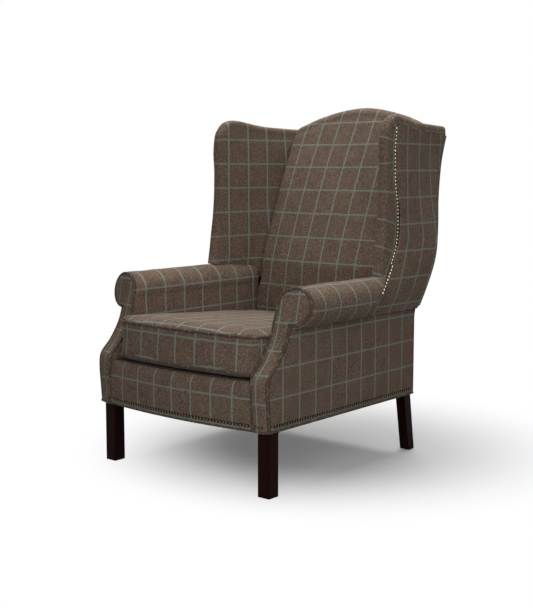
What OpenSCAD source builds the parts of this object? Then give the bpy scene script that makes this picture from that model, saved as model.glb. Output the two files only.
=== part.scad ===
// Wing-back fireside chair with rolled arms, a camel-back crest and a loose piped seat cushion.
// Millimetres, +Z up, the sitter looks along -Y and +X is the sitter's left.
// Pieces are drawn with y = 0 at the front face of the front legs, and place() then moves them
// so that the origin lies on the floor under the middle of the chair.

/* [Body] */
// Clear width between the two arms
seat_w = 578; // [540:1:610]
// Width of each arm from the seat out to the outside panel
arm_w = 57; // [52:0.5:62]
// Length of the legs that shows below the base
leg_h = 190; // [150:1:230]
// Height of the top of the front border, under the cushion
border_h = 333; // [310:1:360]
// Depth from the front legs to the rear of the outside back, at the base
base_d = 724; // [680:1:760]
// Height of the arms at the top of the roll
arm_h = 591; // [560:1:620]
// Height of the middle of the camel-back crest
crest_h = 1127; // [1100:1:1180]
// How far the front top corners of the wings lie below the crest
wing_drop = 44; // [30:1:60]

/* [Legs] */
// Side of the square front legs
front_leg_w = 43; // [36:1:48]
// Width and depth of the rear posts where they leave the base
rear_leg_w = 34; // [30:1:40]
// Depth of the rear leg at the floor
rear_foot_d = 30; // [24:1:34]
// How far the rear foot stands behind the rear of the post
rear_leg_rake = 28; // [10:1:50]
// Radius of the worn long edges of the front legs
leg_edge_r = 4; // [2:0.5:8]
// Diameter of the nail-on glides
glide_d = 20; // [14:1:24]
// Thickness of the glides
glide_t = 3; // [2:0.5:5]

/* [Frame] */
// Thickness of the side rails and arm posts
rail_t = 26; // [20:1:30]
// Thickness of the front and back rails
cross_rail_t = 24; // [20:1:28]
// Height of the top of the side rails
side_rail_top = 300; // [280:1:310]
// Thickness of the flat arm boards
arm_board_t = 20; // [16:1:24]
// Width of the flat arm boards
arm_board_w = 50; // [40:1:52]
// Thickness of the plywood wing boards
wing_board_t = 14; // [10:1:16]
// Depth of the arm posts from front to rear
arm_post_d = 45; // [35:1:60]
// Thickness of the crest rail
crest_rail_t = 28; // [20:1:32]
// Height of the underside of the lower back rail that carries the webbing
stay_rail_z = 390; // [370:1:395]
// Depth of the lower back rail from top to bottom
stay_rail_h = 50; // [40:1:55]
// Side of the corner blocks
block_side = 70; // [50:1:90]
// Thickness of the corner blocks
block_t = 30; // [20:1:40]

/* [Springs and webbing] */
// Number of sinuous springs under the seat
spring_count = 5; // [4:1:6]
// Diameter of the spring wire
spring_wire = 4; // [3:0.5:4.5]
// Width of each spring, from bend to bend
spring_w = 50; // [40:1:56]
// Distance from one bend of a spring to the next
spring_pitch = 22; // [18:1:30]
// Width of one webbing strap of the back
strap_w = 50; // [40:1:60]
// Thickness of a webbing strap
strap_t = 2; // [1.5:0.5:3]
// Number of webbing straps up the back
strap_count = 5; // [4:1:6]

/* [Seat] */
// Thickness of the padded spring deck
deck_t = 18; // [12:1:22]
// Slope of the deck and cushion, down to the rear
seat_tilt = 4; // [2:0.5:6]
// Thickness of the cushion's boxing, from piping to piping
cushion_t = 104; // [85:1:110]
// How far the cushion's rear stands in front of the rear of the base
cushion_rear = 52; // [49:1:80]
// How far the cushion's front stands behind the border's
cushion_setback = 5; // [0:1:20]
// Rise of the cushion's top in the middle
cushion_crown = 20; // [8:1:28]
// How far the boxing draws in between its two pipings
boxing_draw = 5; // [2:1:8]
// Gap between the cushion's piping and each arm
cushion_gap = 5.5; // [3:0.5:12]
// Diameter of the self piping
welt_d = 8; // [6:0.5:9]

/* [Border and panels] */
// Forward bow of the border, from its ends to its middle
border_bow = 34; // [20:1:44]
// How far the middle of the border stands in front of the legs
border_front = 40; // [30:1:50]
// Thickness of the border's padding
border_t = 20; // [14:1:24]
// Thickness of the padded outside panels
panel_t = 8; // [6:0.5:10]
// Thickness of the bottom cloth
dust_t = 1.5; // [1:0.5:2.5]

/* [Arms] */
// Radius of the arm roll
roll_r = 60; // [52:1:62]
// How far the end of the roll runs forward, from its top down to its underside
roll_end_fall = 80; // [0:1:90]
// Turn of the roll's end, where it meets the wing, outwards to the front
roll_end_turn = 54; // [0:1:58]
// How far the middle of the roll lies outside the outside arm panel
roll_out = 1; // [0:1:6]
// Radius of the scroll on the facing, inside its piping
facing_r = 47.5; // [42:0.5:50]
// Thickness of the facing
facing_t = 14; // [10:1:18]
// How far the scroll stands behind the foremost part of the facing
facing_lean = 117; // [90:1:130]
// How far the foremost part of the facing stands in front of the legs
facing_front = 20; // [12:1:26]
// Turn of the facings, outwards
facing_turn = 10; // [0:1:14]

/* [Back] */
// Slope of the back, as a run for each unit of rise
back_rake = 0.36; // [0.3:0.01:0.42]
// How much narrower the inside back is than the seat, on each side
back_narrow = 18; // [14:1:30]
// Fall of the crest from its middle to its ends
crest_drop = 66; // [50:1:90]
// Forward swell of the inside back in its middle
back_crown = 14; // [6:1:20]
// Full thickness of the back at the small of the back
back_t = 100; // [90:1:110]

/* [Wings] */
// Distance from the rear of the base forward to the nose of the wing, at the arm
wing_d = 226; // [190:1:240]
// Width of the padded roll along the wing's edge
wing_roll_w = 38; // [30:1:42]
// Depth of the padded roll on its inner side
wing_roll_d = 24; // [18:1:30]
// Turn of the wings, outwards to the front
wing_turn = 6.5; // [4:0.5:8]
// Thickness of the outside wing panels
wing_panel_t = 6; // [4:0.5:8]
// How far the rear of each outside wing bulges past the outside arm
wing_belly = 36; // [20:1:40]

/* [Studs] */
// Diameter of the nail heads
stud_d = 10; // [8:0.5:11]
// Height of the nail heads
stud_h = 3; // [2:0.5:4]
// Distance from one nail head to the next
stud_pitch = 11.5; // [11.2:0.1:16]

/* [Zip] */
// Length of the zip in the cushion's rear border
zip_l = 470; // [380:1:500]
// Width of the zip's tape
zip_w = 26; // [18:1:32]
// Thickness of the tape
zip_t = 1.6; // [1:0.1:2.5]
// Length of the slider
slider_l = 16; // [12:1:22]

/* [Hidden] */

// Running gap between pieces that touch in life
gap = 0.3;
// Overrun of a cutting solid past what it cuts
over = 5;
mahogany = "#2a0e0b";
beech = "#c39a68";
tweed = "#6a5a50";
tweed_dark = "#4c3f37";
brass = "#7d6a4a";
steel = "#8d9094";

welt_r = welt_d / 2;
arm_in = seat_w / 2;
half_w = arm_in + arm_w;
back_half_w = arm_in - back_narrow;
wing_h = crest_h - wing_drop;
cushion_d = base_d - cushion_rear;
inner_w = half_w - panel_t;
frame_out = inner_w - gap;
rail_in = frame_out - rail_t;
frame_z = leg_h + dust_t + gap;
post_rear = base_d - panel_t - gap;
post_front = post_rear - rear_leg_w;
post_in = frame_out - rear_leg_w;
leg_x = frame_out - front_leg_w;
leg_recess = facing_t + welt_r;

// Arm roll, scroll and facing
roll_x = half_w + roll_out;
roll_z = arm_h - roll_r;
seam_z = roll_z - roll_r - gap;
facing_z = arm_h - facing_r - welt_d - gap;
facing_out = half_w - welt_d - 2 * gap;
// The facing's piping stands a little proud of the inside of the arm
facing_proud = 3;
facing_in = arm_in - facing_proud + welt_d + gap;
facing_mid = (facing_out + facing_in) / 2;
facing_h = arm_h - leg_h;
// Side view of the facing, from the base up: share of the lean, share of the height
facing_shares = [[0.12, 0], [0.05, 0.13], [0, 0.28], [0.05, 0.385], [0.38, 0.485],
  [0.69, 0.62], [0.86, 0.77], [0.97, 0.93], [1, 1.02]];
facing_curve = spline([for (p = facing_shares)
  [p[0] * facing_lean - facing_front, leg_h + p[1] * facing_h]], 4);

// The border is part of a ring about an upright axis far behind the chair
bow_r = (half_w * half_w + border_bow * border_bow) / (2 * border_bow);
bow_y = bow_r - border_front;

// The deck and the cushion slope down to the rear from the border's top
deck_y = -border_front / 2;

// The posts stand upright to the knee, and above it rake back and lean in
knee_share = 0.04;
knee_z = seam_z - knee_share * seam_z;
post_top_z = wing_h - 1.5 * stay_rail_h;
post_lean = 3.4;

back_bottom_z = deck_z(base_d - back_t) + gap;
// Thickness of the back from the seat up: share of the height, share of the full thickness
back_shares = [[0, 0.6], [0.2, 0.6], [0.25, 0.74], [0.33, 0.92], [0.4, 1], [0.66, 0.94],
  [0.83, 0.83], [0.92, 0.75], [1, 0.68]];
// The inside back turns over the crest in an arch and meets the outside back just below it
arch_r = back_thick(crest_h) / 2;
crest_seam = arch_r + 2 * gap;
crest_steps = 6;
crest_x = [for (i = [-crest_steps : crest_steps]) i / crest_steps * back_half_w];

// Wing, drawn in side view
wing_span = wing_h - arm_h;
wing_nose_y = base_d - wing_d;
wing_top_d = back_rear(wing_h) - panel_t - gap - wing_nose_y;
nose_x = roll_x;
// Edge of the wing from the arm to the crest: share of its depth, share of its height
wing_shares = [[0, 0], [0.032, 0.2], [0.06, 0.4], [0.07, 0.6], [0.065, 0.8],
  [0.1, 0.93], [0.225, 1], [0.56, 0.965], [1, 0.95]];
wing_edge = spline([for (p = wing_shares)
  [wing_nose_y + p[0] * wing_top_d, arm_h + gap + p[1] * wing_span]], 3);
wing_steps = len(wing_edge) - 1;
// Depth of the outer band of the wing's roll, along the edge, as a share of its inner depth
band_shares = [1.45, 3.5, 3.4, 2.3, 2.3, 2.2, 1.3, 1.25, 1.25];
band = [for (d = spline([for (b = band_shares) [b * wing_roll_d, 0]], 3)) d[0]];
wing_band = [for (i = [0 : wing_steps]) wing_inset(i, band[i])];
// Which point of the edge is the wing's top front corner
corner_i = 17;

// Rear edge of the outside wing: share of the height above the seam, share of the belly
belly_shares = [[0, 0.32], [0.08, 0.62], [0.16, 0.86], [0.25, 1], [0.33, 0.91], [0.45, 0.52],
  [0.54, 0.16], [0.62, -0.1], [0.7, -0.3], [0.79, -0.46], [0.92, -0.47], [1, -0.4]];
function belly_x(z) = half_w + wing_belly * lookup((z - seam_z) / (wing_h - seam_z), belly_shares);

// Just in front of the back posts
function post_line(z) = post_front - 2 * gap + max(0, back_rake * (z - knee_z));
function back_rear(z) = base_d + (z > knee_z ? back_rake * (z - knee_z) : 0);
function crest_z(x) = crest_h - crest_drop * pow(min(1, abs(x) / back_half_w), 1.8);
function deck_z(y) = border_h - (y - deck_y) * tan(seat_tilt);
function bow_front(x, r) = bow_y - sqrt(r * r - x * x);
function wing_x(y) = nose_x - (y - wing_nose_y) * tan(wing_turn);

// Smooth curve through points, with a number of steps from each point to the next
function spline(p, steps) = [for (i = [0 : len(p) - 2], k = [0 : steps - 1])
  blend(p[max(0, i - 1)], p[i], p[i + 1], p[min(len(p) - 1, i + 2)], k / steps), p[len(p) - 1]];
function blend(a, b, c, d, t) = b + t * ((c - a) / 2
  + t * (a - 2.5 * b + 2 * c - d / 2 + t * (3 * (b - c) + d - a) / 2));
function mix(a, b, t) = a + (b - a) * t;
function unit(v) = v / norm(v);
function reversed(p) = [for (i = [len(p) - 1 : -1 : 0]) p[i]];
function part(p, a, b) = [for (i = [a : b]) p[i]];
// Running length along a path, and the point at a distance along it
function lengths(p) = [for (i = 0, s = 0; i < len(p);
  s = s + (i < len(p) - 1 ? norm(p[i + 1] - p[i]) : 0), i = i + 1) s];
function step_to(l, s) = max(0, len([for (v = l) if (v <= s) v]) - 1);
function along(p, l, s) = let (i = step_to(l, s))
  i >= len(p) - 1 ? p[len(p) - 1] : mix(p[i], p[i + 1], (s - l[i]) / (l[i + 1] - l[i]));
function at_share(p, t) = let (l = lengths(p)) along(p, l, t * l[len(p) - 1]);
// Point of a patch that four boundary curves span
function patch(low, high, front, rear, s, t) =
  mix(at_share(low, s), at_share(high, s), t) + mix(at_share(front, t), at_share(rear, t), s)
  - mix(mix(low[0], low[len(low) - 1], s), mix(high[0], high[len(high) - 1], s), t);
// Point at a depth inside the wing's edge
function wing_inset(i, d) = let (t = unit(wing_edge[min(wing_steps, i + 1)] - wing_edge[max(0, i - 1)]))
  wing_edge[i] + d * [t[1], -t[0]];

// The chair reaches from the piping of the base to the rear of the crest
front_reach = border_front + welt_d + gap;
rear_reach = back_rear(crest_h - arch_r);
chair_d = front_reach + rear_reach;
module place() translate([0, front_reach - chair_d / 2, 0]) children();
module on_side(side) mirror([side < 0 ? 1 : 0, 0, 0]) children();

// Solid between two grids of points with the same rows and columns
module slab(near, far) {
  rows = len(near);
  cols = len(near[0]);
  n = rows * cols;
  function at(i, j) = i * cols + j;
  function quad(a, b, c, d) = [[a, c, b], [a, d, c]];
  skins = [for (i = [0 : rows - 2], j = [0 : cols - 2]) each concat(
    quad(at(i, j), at(i + 1, j), at(i + 1, j + 1), at(i, j + 1)),
    quad(n + at(i, j), n + at(i, j + 1), n + at(i + 1, j + 1), n + at(i + 1, j)))];
  ends = [for (i = [0 : rows - 2]) each concat(
    quad(at(i, 0), n + at(i, 0), n + at(i + 1, 0), at(i + 1, 0)),
    quad(at(i, cols - 1), at(i + 1, cols - 1), n + at(i + 1, cols - 1), n + at(i, cols - 1)))];
  edges = [for (j = [0 : cols - 2]) each concat(
    quad(at(0, j), at(0, j + 1), n + at(0, j + 1), n + at(0, j)),
    quad(at(rows - 1, j), n + at(rows - 1, j), n + at(rows - 1, j + 1), at(rows - 1, j + 1)))];
  polyhedron(points = [for (g = [near, far], row = g) each row], faces = concat(skins, ends, edges));
}

// Solid through rings with the same number of points, closed at each end by a fan to a point
module loft(rings, start, end) {
  m = len(rings[0]);
  n = len(rings) * m;
  last = n - m;
  sides = [for (i = [0 : len(rings) - 2], j = [0 : m - 1]) let (a = i * m, k = (j + 1) % m)
    each [[a + j, a + k, a + m + k], [a + j, a + m + k, a + m + j]]];
  caps = [for (j = [0 : m - 1]) let (k = (j + 1) % m) each [[n, k, j], [n + 1, last + j, last + k]]];
  polyhedron(points = concat([for (r = rings) each r], [start, end]), faces = concat(sides, caps));
}

// Rings of a tube along a path that lies nearly square to the direction up
function tube(path, r, up, closed, sides = 6) = let (n = len(path)) [for (i = [0 : n - 1])
  let (t = unit((closed ? path[(i + 1) % n] : path[min(n - 1, i + 1)])
    - (closed ? path[(i + n - 1) % n] : path[max(0, i - 1)])),
    a = unit(cross(t, up)), b = cross(a, t))
  [for (k = [0 : sides - 1]) path[i] + r * (cos(360 * k / sides) * a + sin(360 * k / sides) * b)]];
module piping(path, r, up) loft(tube(path, r, up, false), path[0], path[len(path) - 1]);
module hoop(path, r, up) {
  rings = tube(path, r, up, true);
  n = len(rings);
  m = len(rings[0]);
  polyhedron(points = [for (r = rings) each r], faces = [for (i = [0 : n - 1], j = [0 : m - 1])
    let (a = i * m, b = ((i + 1) % n) * m, k = (j + 1) % m)
    each [[a + j, a + k, b + k], [a + j, b + k, b + j]]]);
}

// Prism along X from x0 to x1, of an outline given as [y, z] points
module along_x(points, x0, x1) translate([x0, 0, 0]) rotate([90, 0, 90])
  linear_extrude(height = x1 - x0) polygon(points);
// Prism along Y from y0 to y1, of children drawn as [x, z]
module along_y(y0, y1) translate([0, y1, 0]) rotate([90, 0, 0]) linear_extrude(height = y1 - y0) children();
module box(low, high) translate(low) cube(high - low);

// Bar with four rounded long edges, standing on z = 0
module rounded_bar(w, d, h, r) linear_extrude(height = h) {
  translate([r, 0]) square([w - 2 * r, d]);
  translate([0, r]) square([w, d - 2 * r]);
  for (x = [r, w - r], y = [r, d - r]) translate([x, y]) circle(r = r, $fn = 32);
}

// One nail head on the plane z = 0, low and pointed
module stud() cylinder(r1 = stud_d / 2, r2 = 0, h = stud_h, $fn = 8);

// The leg and the corner post above it are one piece, let in at the front for the facing
module front_leg(side) place() on_side(side) color(mahogany) {
  translate([leg_x, 0, glide_t]) rounded_bar(front_leg_w, front_leg_w, leg_h - glide_t, leg_edge_r);
  box([leg_x, leg_recess, leg_h - over], [frame_out, front_leg_w, side_rail_top]);
}
module leg_front_left() front_leg(1);
module leg_front_right() front_leg(-1);

// Each rear leg runs up into a raked back post, sawn from one plank
module back_post(side) place() on_side(side) color(mahogany) {
  along_x([[post_rear + rear_leg_rake - rear_foot_d, glide_t], [post_rear + rear_leg_rake, glide_t],
    [post_rear, leg_h], [post_rear, knee_z], [post_front, knee_z], [post_front, leg_h]],
    post_in, frame_out);
  // The lean tips the upper post a little out of the back's plane, so it is planed to fit
  rise = post_top_z - knee_z;
  planed = rear_leg_w * sin(post_lean) * back_rake;
  rear = post_rear - back_rake * rise * (1 - cos(post_lean));
  intersection() {
    box([0, 0, 0], [frame_out, chair_d, crest_h]);
    translate([frame_out, 0, knee_z]) rotate([0, -post_lean, 0]) translate([0, 0, -knee_z])
      along_x([[post_front + planed, knee_z - over], [rear - planed, knee_z - over], [rear - planed, knee_z],
        [rear - planed + back_rake * rise, post_top_z], [post_front + planed + back_rake * rise, post_top_z],
        [post_front + planed, knee_z]], -rear_leg_w, 0);
  }
}
module back_post_left() back_post(1);
module back_post_right() back_post(-1);

module glide(x, y) place() translate([x, y, 0]) color("#20201e")
  cylinder(h = glide_t, d1 = glide_d - glide_t, d2 = glide_d, $fn = 24);
rear_foot_y = post_rear + rear_leg_rake - rear_foot_d / 2;
rear_foot_x = frame_out - rear_leg_w / 2;
front_foot_x = leg_x + front_leg_w / 2;
module glide_front_left() glide(front_foot_x, front_leg_w / 2);
module glide_front_right() glide(-front_foot_x, front_leg_w / 2);
module glide_rear_left() glide(rear_foot_x, rear_foot_y);
module glide_rear_right() glide(-rear_foot_x, rear_foot_y);

// Piece of a ring about the border's axis, of a [radius, z] outline, cut off at a half width
module bow_ring(outline, half) intersection() {
  turn = asin(half / bow_r) + 1;
  translate([0, bow_y, 0]) rotate([0, 0, -90 - turn])
    rotate_extrude(angle = 2 * turn, $fn = 360) polygon(outline);
  box([-half, -border_front - over, 0], [half, base_d, crest_h]);
}
border_in_r = bow_r - border_t - gap;
rail_in_r = border_in_r - cross_rail_t;

// The springs run just under the deck, on the front and back rails
spring_drop = deck_t + gap + spring_wire;
front_rail_top = deck_z(bow_front(leg_x, rail_in_r)) - spring_drop - gap;
back_rail_top = deck_z(post_front + cross_rail_t) - spring_drop - gap;
module front_rail() place() color(beech) bow_ring([[rail_in_r, frame_z], [border_in_r, frame_z],
  [border_in_r, front_rail_top], [rail_in_r, front_rail_top]], leg_x - gap);
module back_rail() place() color(beech)
  box([gap - post_in, post_front, frame_z], [post_in - gap, post_front + cross_rail_t, back_rail_top]);

module side_rail(side) place() on_side(side) color(beech)
  box([rail_in, front_leg_w + gap, frame_z], [frame_out, post_front - gap, side_rail_top]);
module side_rail_left() side_rail(1);
module side_rail_right() side_rail(-1);

strap_y = post_front + strap_t + gap;
module stay_rail() place() color(beech) box([gap - post_in, strap_y, stay_rail_z],
  [post_in - gap, strap_y + cross_rail_t, stay_rail_z + stay_rail_h]);

// Crest rail: a raked board between the posts, whose top edge follows the camel back
crest_rail_z = post_top_z - 1.5 * stay_rail_h;
crest_half = post_in - (post_top_z - knee_z) * tan(post_lean) - gap;
module crest_rail() place() color(beech) intersection() {
  along_x([for (p = [[0, crest_rail_z], [crest_rail_t, crest_rail_z], [crest_rail_t, crest_h], [0, crest_h]])
    [strap_y + p[0] + back_rake * (p[1] - knee_z), p[1]]], -crest_half, crest_half);
  along_y(0, chair_d) polygon(concat(
    [for (x = crest_x) [x, crest_z(x) - crest_seam - gap]], [[back_half_w, knee_z], [-back_half_w, knee_z]]));
}

module corner_block(points) translate([0, 0, frame_z]) linear_extrude(height = block_t) polygon(points);
module corner_blocks() place() color(beech) for (side = [1, -1]) on_side(side) {
  rail_y = bow_front(leg_x - block_side, rail_in_r) + gap;
  corner_block([[leg_x - gap, front_leg_w], [leg_x - gap, rail_y + block_side],
    [rail_in - gap, rail_y + block_side + over], [rail_in - gap, front_leg_w + gap]]);
  corner_block([[post_in, post_front - gap], [rail_in - gap, post_front - gap],
    [rail_in - gap, post_front - block_side], [post_in - block_side, post_front - gap]]);
}

/* Arms */
// Everything behind the turned facing, set back by a distance
module behind_facing(set_back) {
  foot = 2 * facing_curve[0] - facing_curve[1];
  line = concat([foot], part(facing_curve, 1, len(facing_curve) - 1));
  translate([facing_mid, 0, 0]) rotate([0, 0, facing_turn])
    along_x(concat([for (p = line) [p[0] + set_back, p[1]]],
      [[chair_d, line[len(line) - 1][1]], [chair_d, foot[1]]]), -half_w, half_w);
}

// Front view of the facing, from the inside foot over the scroll to the outside foot
function scroll(grow) = let (r = facing_r + grow, neck = asin((roll_x - facing_out - grow) / r))
  concat([[facing_in - grow, leg_h], [facing_in - grow, facing_z - facing_r]],
    [for (k = [0 : 22]) let (a = mix(175, -90 - neck, k / 22)) [roll_x + r * cos(a), facing_z + r * sin(a)]],
    [[facing_out + grow, facing_z - r - over], [facing_out + grow, leg_h]]);

// Sawn scroll board, padded and swept into an S in side view
module arm_facing(side) place() on_side(side) color(tweed) intersection() {
  along_y(-facing_lean, 2 * facing_lean) polygon(scroll(0));
  translate([facing_mid, 0, 0]) rotate([0, 0, facing_turn]) along_x(concat(facing_curve,
    reversed([for (p = facing_curve) [p[0] + facing_t, p[1]]])), -half_w, half_w);
}
module arm_facing_left() arm_facing(1);
module arm_facing_right() arm_facing(-1);

// Depth of the facing's front at a place seen from the front
facing_by_z = [for (p = facing_curve) [p[1], p[0]]];
function facing_y(x, z) = lookup(z, facing_by_z) / cos(facing_turn) + (x - facing_mid) * tan(facing_turn);
// Self piping round the facing: up the inside, over the scroll and down the outside
module facing_welt(side) place() on_side(side) color(tweed_dark) {
  path = scroll(welt_r + 2 * gap);
  l = lengths(path);
  n = ceil(l[len(l) - 1] / (2 * welt_d));
  piping([for (k = [0 : n]) let (p = along(path, l, l[len(l) - 1] * k / n))
    [p[0], facing_y(p[0], p[1]) + welt_r, max(p[1], leg_h + welt_d)]], welt_r, [0, 1, 0]);
}
module facing_welt_left() facing_welt(1);
module facing_welt_right() facing_welt(-1);

arm_board_z = seam_z + 1.2 * arm_board_t;
arm_board_out = half_w + panel_t / 2;
module arm_board(side) place() on_side(side) color(beech) intersection() {
  box([arm_board_out - arm_board_w, 0, arm_board_z],
    [arm_board_out, post_front - gap, arm_board_z + arm_board_t]);
  behind_facing(facing_t + gap);
}
module arm_board_left() arm_board(1);
module arm_board_right() arm_board(-1);

module arm_post(side) place() on_side(side) color(beech) difference() {
  intersection() {
    box([rail_in, -facing_lean, side_rail_top + gap], [frame_out, post_front, arm_board_z - gap]);
    behind_facing(facing_t + gap);
  }
  behind_facing(facing_t + gap + arm_post_d);
}
module arm_post_left() arm_post(1);
module arm_post_right() arm_post(-1);

// Outside arm: padded cloth panel from the base to the seam under the roll
module outside_arm(side) place() on_side(side) color(tweed) intersection() {
  box([inner_w, -facing_lean, leg_h], [half_w, base_d - panel_t - gap, seam_z]);
  behind_facing(facing_t + gap);
}
module outside_arm_left() outside_arm(1);
module outside_arm_right() outside_arm(-1);

// Arm padding: the roll as far as the wing, and the inside of the arm on to the back
roll_end = wing_nose_y + band[0];
wing_out_x = nose_x + wing_roll_w / 2;
function roll_end_y(x, z) = roll_end - max(0, roll_end_fall * (arm_h - z) / (arm_h - seam_z)
  + tan(roll_end_turn) * (x - wing_out_x));
pad_in_z = max(side_rail_top, front_rail_top) + gap;
pad_x = rail_in - gap;
module arm_pad(side) place() on_side(side) color(tweed) difference() {
  intersection() {
    union() {
      intersection() {
        translate([roll_x, -facing_lean, roll_z]) rotate([-90, 0, 0])
          cylinder(r = roll_r, h = facing_lean + roll_end - gap, $fn = 96);
        roll_stop();
      }
      box([arm_in, -facing_lean, pad_in_z], [pad_x, post_front - gap, roll_z]);
      box([arm_in, front_leg_w + gap, frame_z + block_t + gap], [pad_x, post_front - gap, roll_z]);
      // The inner half of the roll runs on under the inside wing, as far as the post
      intersection() {
        translate([roll_x, 0, roll_z]) rotate([-90, 0, 0])
          cylinder(r = roll_r, h = post_front - gap, $fn = 96);
        translate([nose_x, wing_nose_y, 0]) rotate([0, 0, wing_turn])
          box([-half_w, -roll_end_fall, roll_z - over], [-wing_board_t / 2 - gap, wing_d, arm_h]);
      }
    }
    behind_facing(facing_t + gap);
  }
  box([arm_board_out - arm_board_w - gap, -facing_lean, arm_board_z - gap],
    [arm_board_out + gap, base_d, arm_board_z + arm_board_t + gap]);
  box([rail_in - gap, -facing_lean, seam_z - over], [inner_w, base_d, arm_board_z]);
}
// Everything in front of the slanted end of the roll, which turns outwards past the wing
module roll_stop() {
  function end(x, z) = [x, roll_end - gap - roll_end_fall * (arm_h - z) / (arm_h - seam_z)
    - tan(roll_end_turn) * max(0, x - wing_out_x), z];
  high = arm_h + over;
  low = seam_z - over;
  left = roll_x - roll_r - over;
  right = roll_x + roll_r + over;
  slab([for (x = [left, wing_out_x, right]) [for (z = [low, high]) [x, -base_d, z]]],
    [for (x = [left, wing_out_x, right]) [for (z = [low, high]) end(x, z)]]);
}
function roll_top(x) = roll_z + sqrt(max(0, roll_r * roll_r - pow(roll_x - x, 2)));
module arm_pad_left() arm_pad(1);
module arm_pad_right() arm_pad(-1);

/* Wings */
// Plywood board inside the wing, standing on the arm board and screwed to the post
module wing_board(side) place() on_side(side) color("#d8b98a") {
  inset = wing_roll_d + gap + wing_board_t / 2 * sin(wing_turn);
  foot = arm_board_z + arm_board_t + gap;
  stand_y = roll_end + gap + wing_board_t / 2 * sin(wing_turn);
  outline = concat([[stand_y, foot], [stand_y, arm_h + gap]],
    [for (i = [1 : wing_steps]) let (p = wing_inset(i, inset)) if (p[0] < post_line(post_top_z) - over) p],
    [[post_line(post_top_z), post_top_z], [post_line(foot), foot]]);
  translate([nose_x, wing_nose_y, 0]) rotate([0, 0, wing_turn])
    along_x([for (p = outline) [(p[0] - wing_nose_y) / cos(wing_turn), p[1]]],
      -wing_board_t / 2, wing_board_t / 2);
}
module wing_board_left() wing_board(1);
module wing_board_right() wing_board(-1);

// Section of the padded roll on the wing's edge: share of the inner depth, share of the half width
roll_shares = [[1, -1], [0.4, -0.94], [0.08, -0.6], [0, 0], [0.08, 0.6], [0.4, 0.94], [1, 1]];
module wing_roll(side) {
  half = wing_roll_w / 2;
  function at(i, u, v) = let (p = wing_inset(i, u)) [wing_x(p[0]) + v, p[0], max(p[1], arm_h + gap)];
  rings = [for (i = [0 : wing_steps]) concat(
    [for (p = roll_shares) at(i, p[0] * wing_roll_d, p[1] * half)],
    [at(i, band[i], half), at(i, band[i], half - wing_panel_t), at(i, wing_roll_d, half - wing_panel_t)])];
  // Each end closes to a point from which the whole section can be seen
  function heart(r) = (r[5] + r[9]) / 2;
  place() on_side(side) color(tweed)
    loft([for (r = rings) reversed(r)], heart(rings[0]), heart(rings[wing_steps]));
}
module wing_roll_left() wing_roll(1);
module wing_roll_right() wing_roll(-1);

// Inside wing: from the roll's inner side to the inside back, on the arm
module inside_wing(side) {
  inset = [for (i = [0 : wing_steps]) wing_inset(i, wing_roll_d + 3 * gap)];
  front = part(inset, 0, corner_i);
  high = part(inset, corner_i, wing_steps - 2);
  rear = [[post_line(arm_h), arm_h + gap], high[len(high) - 1]];
  low = [front[0], rear[0]];
  rows = 16;
  cols = 6;
  // It runs level with the board, and turns in at the rear to meet the side of the back
  turn_in = 0.6;
  function near_x(s, y) = mix(wing_x(y) - wing_roll_w / 2, back_half_w + gap,
    pow(max(0, (s - turn_in) / (1 - turn_in)), 2)) - welt_r * sin(180 * s);
  function far_x(y) = wing_x(y) - wing_board_t / 2 / cos(wing_turn) - gap;
  // The lowest row lies on the arm's roll
  function settle(x, q, t) = let (z = t > 0 ? q[1] : roll_top(x) + 8 * gap)
    [x, min(q[0], post_line(z)), z];
  grid = [for (t = [0 : rows]) [for (s = [0 : cols]) patch(low, high, front, rear, s / cols, t / rows)]];
  place() on_side(side) color(tweed)
    slab([for (t = [0 : rows]) [for (s = [0 : cols]) settle(near_x(s / cols, grid[t][s][0]), grid[t][s], t)]],
      [for (t = [0 : rows]) [for (s = [0 : cols]) settle(far_x(grid[t][s][0]), grid[t][s], t)]]);
}
module inside_wing_left() inside_wing(1);
module inside_wing_right() inside_wing(-1);

// Outside wing: from the studs back to the rear corner, and down to the seam of the outside arm
module outside_wing(side) {
  past = [for (i = [0 : wing_steps]) wing_inset(i, band[i] + gap)];
  front = concat([for (z = [seam_z + gap, roll_z]) [roll_end_y(wing_out_x, z) + gap, z]],
    part(past, 0, corner_i));
  high = part(past, corner_i, wing_steps);
  top = high[len(high) - 1];
  rear = [for (k = [0 : 8]) let (z = mix(seam_z + gap, top[1], k / 8)) [back_rear(z) - panel_t - gap, z]];
  low = [front[0], rear[0]];
  function out_x(s, z) = mix(mix(half_w + panel_t / 2, wing_out_x, min(1, (z - seam_z) / roll_r)), belly_x(z), s)
    + welt_r * sin(180 * s) * min(1, (z - seam_z) / roll_r);
  rows = 16;
  cols = 7;
  grid = [for (t = [0 : rows]) [for (s = [0 : cols])
    let (q = patch(low, high, front, rear, s / cols, t / rows))
    [out_x(s / cols, q[1]), q[0], q[1]]]];
  place() on_side(side) color(tweed) slab([for (row = grid) [for (q = row) q - [wing_panel_t, 0, 0]]], grid);
}
module outside_wing_left() outside_wing(1);
module outside_wing_right() outside_wing(-1);

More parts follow.
